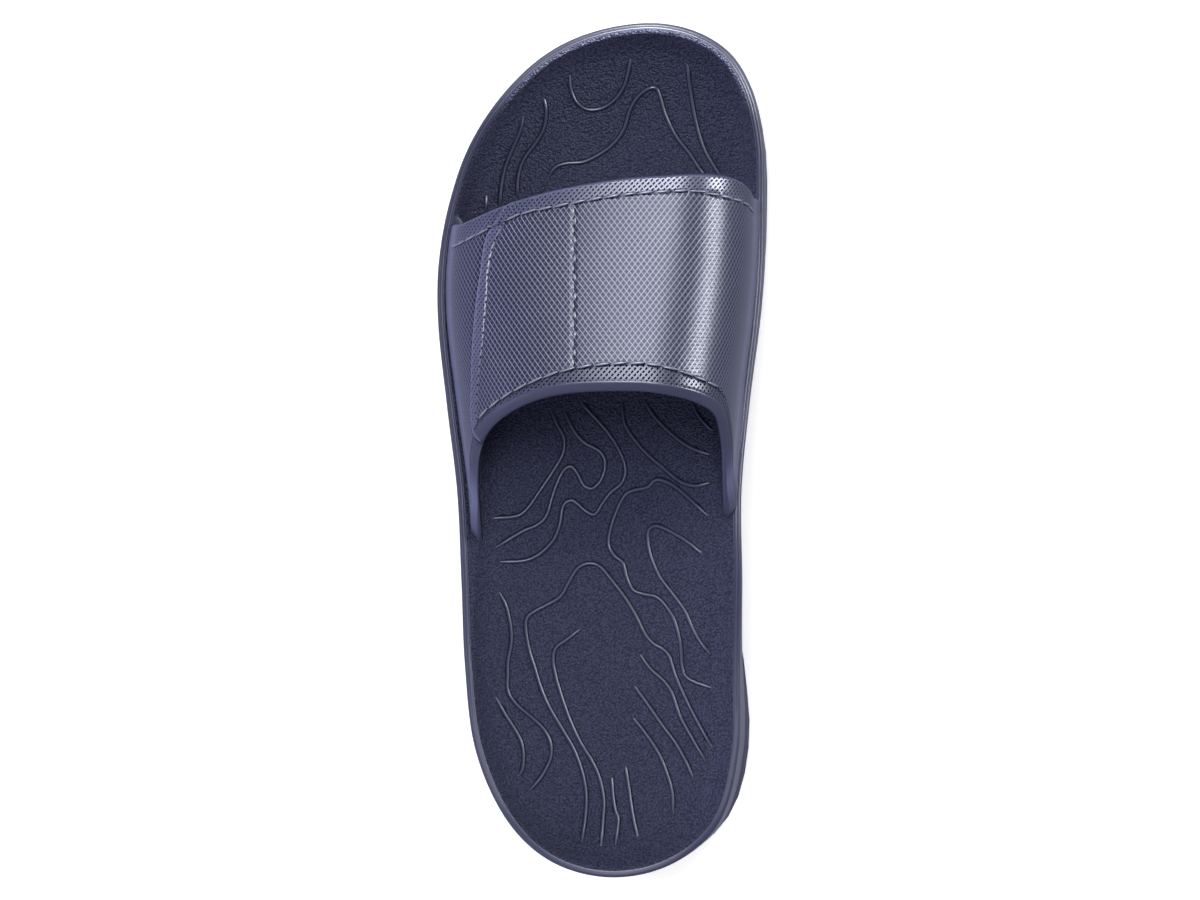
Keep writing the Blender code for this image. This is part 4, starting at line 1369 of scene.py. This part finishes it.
def strap_line(kind, at, seat):
    """A spot on a stitch line: at is an angle for the edge lines and a share for the others."""
    if kind in EDGE_LINES:
        front, rear = column(STRAP_EDGES, 1, at), column(STRAP_EDGES, 2, at)
        if kind == "front":
            share = front - column(FRONT_STITCH, 1, at) * MM / LENGTH
        else:
            share = rear + column(REAR_STITCH, 1, at) * MM / LENGTH
        degrees, across = at, (front - share) / (front - rear)
    else:
        degrees = column(OVERLAY_STITCH if kind == "overlay" else SEAM, 1, at)
        front, rear = column(STRAP_EDGES, 1, degrees), column(STRAP_EDGES, 2, degrees)
        share, across = front + (rear - front) * at, at
    under = OVERLAY_STEP if degrees < column(OVERLAY, 1, across) else 0.0
    return strap_point(degrees, share, under + seat * MM)


def stitch_path(kind, start, stop, seat):
    return [
        strap_line(kind, start + (stop - start) * i / PATH_STEPS, seat)
        for i in range(PATH_STEPS + 1)
    ]


def stitches():
    """The moulded stitches, raised in the grooves of the strap."""
    surface = Surface()
    for kind, start, stop, pitch, length, swing, seat in STITCH_LINES:
        path = stitch_path(kind, start, stop, seat)
        total, goal, side = 0.0, pitch / 2, 1
        for here, after in zip(path, path[1:]):
            total += (after - here).length / MM
            if total < goal:
                continue
            goal += pitch
            along = (after - here).normalized()
            outward = Vector((here.x * ARCH_ROUND, 0.0, here.z)).normalized()
            sideways = along.cross(outward).normalized()
            normal = sideways.cross(along).normalized()
            if normal.z < -UPSIDE_DOWN:
                normal = -normal
            if kind in EDGE_LINES:
                forward = sideways if sideways.y > 0 else -sideways
                right = along if along.x > 0 else -along
                along = (right + forward * math.tan(STITCH_TURN)).normalized()
                middle = here + forward * STITCH_SHIFT
            else:
                middle = here + sideways * (swing * MM * side)
                side = -side
            capsule(surface, middle, along, normal, length * MM)
    return surface.build("strap_stitches", [STITCH], flip=True)


def floor():
    """A white studio floor just under the sole."""
    mesh = bpy.data.meshes.new("floor")
    reach = FLOOR_HALF
    corners = [(-reach, -reach, 0), (reach, -reach, 0), (reach, reach, 0), (-reach, reach, 0)]
    mesh.from_pydata(corners, [], [(0, 1, 2, 3)])
    material = bpy.data.materials.new("floor_white")
    material.use_nodes = True
    shader = material.node_tree.nodes["Principled BSDF"]
    shader.inputs["Base Color"].default_value = FLOOR_WHITE
    shader.inputs["Roughness"].default_value = FLOOR_ROUGH
    shader.inputs["Specular IOR Level"].default_value = 0.0
    shader.inputs["Emission Color"].default_value = WHITE
    shader.inputs["Emission Strength"].default_value = FLOOR_GLOW
    mesh.materials.append(material)
    made = bpy.data.objects.new("floor", mesh)
    made.location.z = -FLOOR_DROP
    made.visible_glossy = False  # the sides stay dark, as in the photo
    bpy.context.scene.collection.objects.link(made)


def camera():
    data = bpy.data.cameras.new("camera")
    data.sensor_width = SENSOR
    data.lens = SENSOR * VIEW_DISTANCE / VIEW_WIDTH
    made = bpy.data.objects.new("camera", data)
    turned = Matrix((VIEW_RIGHT, VIEW_UP, VIEW_BACK)).transposed().to_4x4()
    made.matrix_world = Matrix.Translation(EYE) @ turned
    bpy.context.scene.collection.objects.link(made)
    bpy.context.scene.camera = made


def softbox(name, direction, size, power, matt, gloss):
    """A rectangular soft light that faces the sandal."""
    data = bpy.data.lights.new(name, "AREA")
    data.shape = "RECTANGLE"
    data.size, data.size_y = size
    data.energy = power
    made = bpy.data.objects.new(name, data)
    made.visible_diffuse = matt
    made.visible_glossy = gloss
    away = Vector(direction).normalized()
    made.location = AIM + away * LIGHT_DISTANCE
    made.rotation_mode = "QUATERNION"
    made.rotation_quaternion = (-away).to_track_quat("-Z", "Y")
    bpy.context.scene.collection.objects.link(made)


def lights():
    for row in LIGHTS:
        softbox(*row)
    world = bpy.data.worlds.new("studio")
    bpy.context.scene.world = world
    world.use_nodes = True
    back = world.node_tree.nodes["Background"]
    back.inputs["Color"].default_value = ROOM_TINT
    back.inputs["Strength"].default_value = ROOM_LIGHT
    world.cycles_visibility.diffuse = False  # the studio's white walls show in the gloss alone
    view = bpy.context.scene.view_settings
    view.view_transform = "Standard"
    view.look = "None"
    view.exposure = 0.0


camera()
lights()
floor()

SKIN = smooth_foam()
GRAIN = grained_foam()
KNIT = knit_foam()
RIDGE = ridge_foam()
STITCH = stitch_highlight_foam()
SHADOW = crease_foam()

body = sole_body()
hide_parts("midsole")
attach(body, "root")

strap = strap_shell()
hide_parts("upper")
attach(strap, "root")

bed_ridges = ridges(tree_of(body))
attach(bed_ridges, "root")

thread = stitches()
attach(thread, "root")

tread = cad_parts["outsole"]
for slot in tread.material_slots:
    slot.material = SKIN

for item in (body, strap, bed_ridges, thread):
    print(item.name, len(item.data.polygons), "faces")
